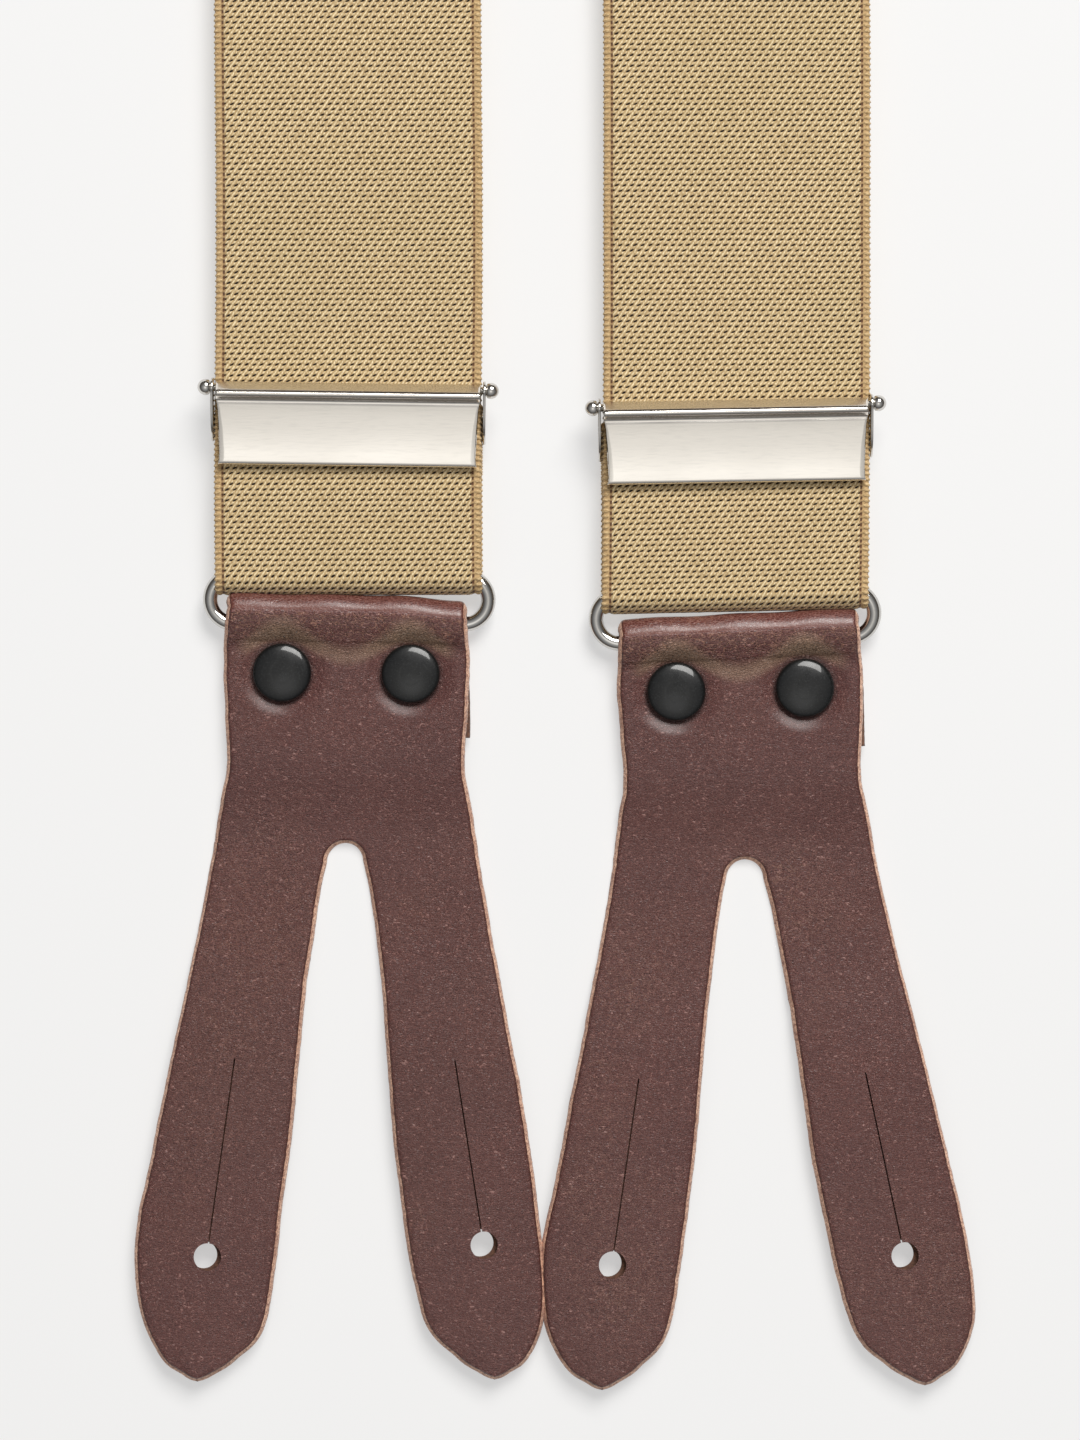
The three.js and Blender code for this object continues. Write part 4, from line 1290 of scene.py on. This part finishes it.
# ---- Back web ----
# One more length of the same web leaves the patch and runs round the back ring's bar, with its
# end turned back and sewn behind.
back_bar, _ = ring_place("back")
back_bar_y = back_bar.y / MM
to_back = Matrix.Scale(MM, 4) @ Matrix.Rotation(math.pi, 4, "Z")
back_path = eased_path(
    [(-WEB_SPLIT - 0.3, IN_PATCH), (-back_bar_y + 11, IN_PATCH), (-back_bar_y + 2.5, FRONT_HEIGHT),
     (-back_bar_y + 0.3, FRONT_HEIGHT)]
) + half_turn(-back_bar_y, RING_HEIGHT, FOLD_TURN, 90, 26) + [(-back_bar_y + 36, REAR_HEIGHT)]
back_web, back_length = web_strip("back_web_strip", back_path, 0, to_back, 41, lambda y: -back_bar.x / MM)
fitted(back_web, "root", "elastic_web", "back_web", "back_web_loop")


# ---- Back patch ----
# Two shield-shaped leathers hold the three web ends between them. The leather is drawn down
# to the webs' sides and sewn all round and across the webs with waxed thread.
PATCH_WIDE, PATCH_NARROW, PATCH_BOW = 53, 29, 7
OUTER_LIES, DRAWN_DOWN, DRAWN_WITHIN = 4.0, 1.95, (0.5, 4.5)
PATCH_LENGTH = patch_end - patch_start
patch_grain = grain_leather("patch_leather", 13, 0.3, pressed=False)
patch_x = (patch_low[0] + patch_high[0]) / 2 / MM


def bow(a, b, c, t):
    return (1 - t) ** 2 * a + 2 * t * (1 - t) * b + t * t * c


def patch_sides(count):
    """Half width and distance from the wide end, down one side of the patch."""
    line = [(PATCH_WIDE, y) for y in np.linspace(0, 26, 30, endpoint=False)]
    for t in np.linspace(0, 1, 60, endpoint=False):
        line.append((bow(PATCH_WIDE, PATCH_NARROW + 3, PATCH_NARROW, t), bow(26, 45, PATCH_LENGTH - 6, t)))
    for t in np.linspace(0, 1, 14):
        line.append((bow(PATCH_NARROW, PATCH_NARROW, PATCH_NARROW - 6, t),
                     bow(PATCH_LENGTH - 6, PATCH_LENGTH, PATCH_LENGTH, t)))
    line = np.array(line)
    share = np.linspace(0, 1, count)
    along = np.concatenate([[0], np.cumsum(np.linalg.norm(np.diff(line, axis=0), axis=1))])
    return np.stack([np.interp(share * along[-1], along, line[:, i]) for i in (0, 1)], 1)


def bowed(x, y):
    """How far the patch's wide end bows down at this place."""
    return PATCH_BOW * (1 - (x / PATCH_WIDE) ** 2) * (1 - y / PATCH_LENGTH) ** 2


def beside_webs(x, y):
    """How far a place on the patch lies outside the webs that it covers."""
    half = np.interp(y, (20, 30), (51.2, 25.6))
    return np.maximum(np.abs(x) - half, 0)


def patch_piece(name, low, down, material_under):
    sides = patch_sides(90)
    columns = 74
    t = np.linspace(-1, 1, columns)
    verts, faces, kinds, pattern = [], [], [], []
    grids = {}
    for skin in ("top", "under"):
        grid = []
        for k, (half, y) in enumerate(sides):
            x = t * half
            place_y = y + bowed(x, y)
            gap = np.minimum(np.minimum((1 - np.abs(t)) * half, y), PATCH_LENGTH - y)
            fall = down * smooth_step(beside_webs(x, place_y), *DRAWN_WITHIN)
            rim = 0.3 * np.exp(-gap / 0.35)
            z = low + (LEATHER - rim if skin == "top" else rim) - fall
            grid.append(range(len(verts), len(verts) + columns))
            verts.extend(zip(x + patch_x, patch_start + place_y, np.maximum(z, 0.01)))
            pattern.extend((g, v + 60) for g, v in zip(gap, place_y))
        grids[skin] = grid
        for k in range(len(sides) - 1):
            for c in range(columns - 1):
                quad = (grid[k][c], grid[k][c + 1], grid[k + 1][c + 1], grid[k + 1][c])
                faces.append(quad if skin == "top" else quad[::-1])
                kinds.append(0 if (skin == "top") == (material_under is flesh_side) else 1)
    top, under = grids["top"], grids["under"]
    edge_top, edge_under = (
        [r[0] for r in grid] + list(grid[-1])[1:] + [r[-1] for r in grid[::-1]][1:] + list(grid[0])[-2:0:-1]
        for grid in (top, under)
    )
    count = len(edge_top)
    for i in range(count):
        j = (i + 1) % count
        faces.append((edge_top[i], edge_top[j], edge_under[j], edge_under[i]))
        kinds.append(2)
    piece = add_mesh(
        name, verts, faces, [patch_grain, flesh_side, raw_edge], pattern=np.array(pattern) * MM
    )
    piece.data.polygons.foreach_set("material_index", kinds)
    merged(piece, 1e-4)
    piece.data.transform(Matrix.Scale(MM, 4))
    return piece


patch_top = patch_piece("patch_outer_leather", OUTER_LIES, DRAWN_DOWN, flesh_side)
patch_bottom = patch_piece("patch_inner_leather", 0.0, 0.0, patch_grain)
fitted(patch_top, "root", "leather", "back_patch_top")
fitted(patch_bottom, "root", "leather", "back_patch_bottom")

waxed_thread = thread_material(
    "waxed_thread", srgb(116, 84, 60), 0.6, srgb(84, 58, 42), srgb(140, 104, 76),
    {"scale": (1, 1, 1), "noise": (3000, 2), "spread": (0.35, 0.65), "depth": 0.5},
)
STITCH_PITCH, STITCH_SIZE = 3.2, {"Length": 2.5, "Width": 0.62, "Height": 0.62}
stitch_rows = thread_tree("stitches", 6, STITCH_SIZE, waxed_thread)
SEAM_IN = 3.2


def seam(points):
    """Even places along a line of x and y, with the direction at each."""
    points = np.array(points, float)
    along = np.concatenate([[0], np.cumsum(np.linalg.norm(np.diff(points, axis=0), axis=1))])
    count = int(along[-1] / STITCH_PITCH)
    at = (np.arange(count) + 0.5) * along[-1] / count
    x, y = (np.interp(at, along, points[:, i]) for i in (0, 1))
    ahead_x, ahead_y = (np.interp(at + 0.5, along, points[:, i]) for i in (0, 1))
    return [(a, b, math.atan2(d - b, c - a)) for a, b, c, d in zip(x, y, ahead_x, ahead_y)]


def across_line(y, half):
    """A seam across the patch, following the bow of its wide end."""
    return [(x, y + bowed(x, y)) for x in np.linspace(-half, half, 90)]


side_line, side_in = patch_sides(160), []
for (half, y), (half2, y2) in zip(side_line, side_line[1:]):
    along = Vector((half2 - half, y2 - y)).normalized()
    x_in, y_in = half - SEAM_IN * along.y, y + SEAM_IN * along.x
    if SEAM_IN < y_in < PATCH_LENGTH - SEAM_IN:
        side_in.append((x_in, y_in + bowed(x_in, y_in)))
seams = [side_in, [(-x, y) for x, y in side_in], across_line(SEAM_IN, 49.5), across_line(20.5, 47.5),
         across_line(31, 38), across_line(PATCH_LENGTH - SEAM_IN, 24.5)]
places, leans = [], []
for line in seams:
    for x, y, heading in seam(line):
        fall = DRAWN_DOWN * float(smooth_step(beside_webs(x, y), *DRAWN_WITHIN))
        for height, turn in ((OUTER_LIES + LEATHER + 0.05 - fall, 0.1), (0.22, -0.1)):
            places.append((x + patch_x, patch_start + y, height))
            leans.append((0, 0, heading + turn))
stitches = laid("patch_stitches", stitch_rows, places, leans, **STITCH_SIZE)
stitches.data.transform(Matrix.Scale(MM, 4))
fitted(stitches, "root", "leather")
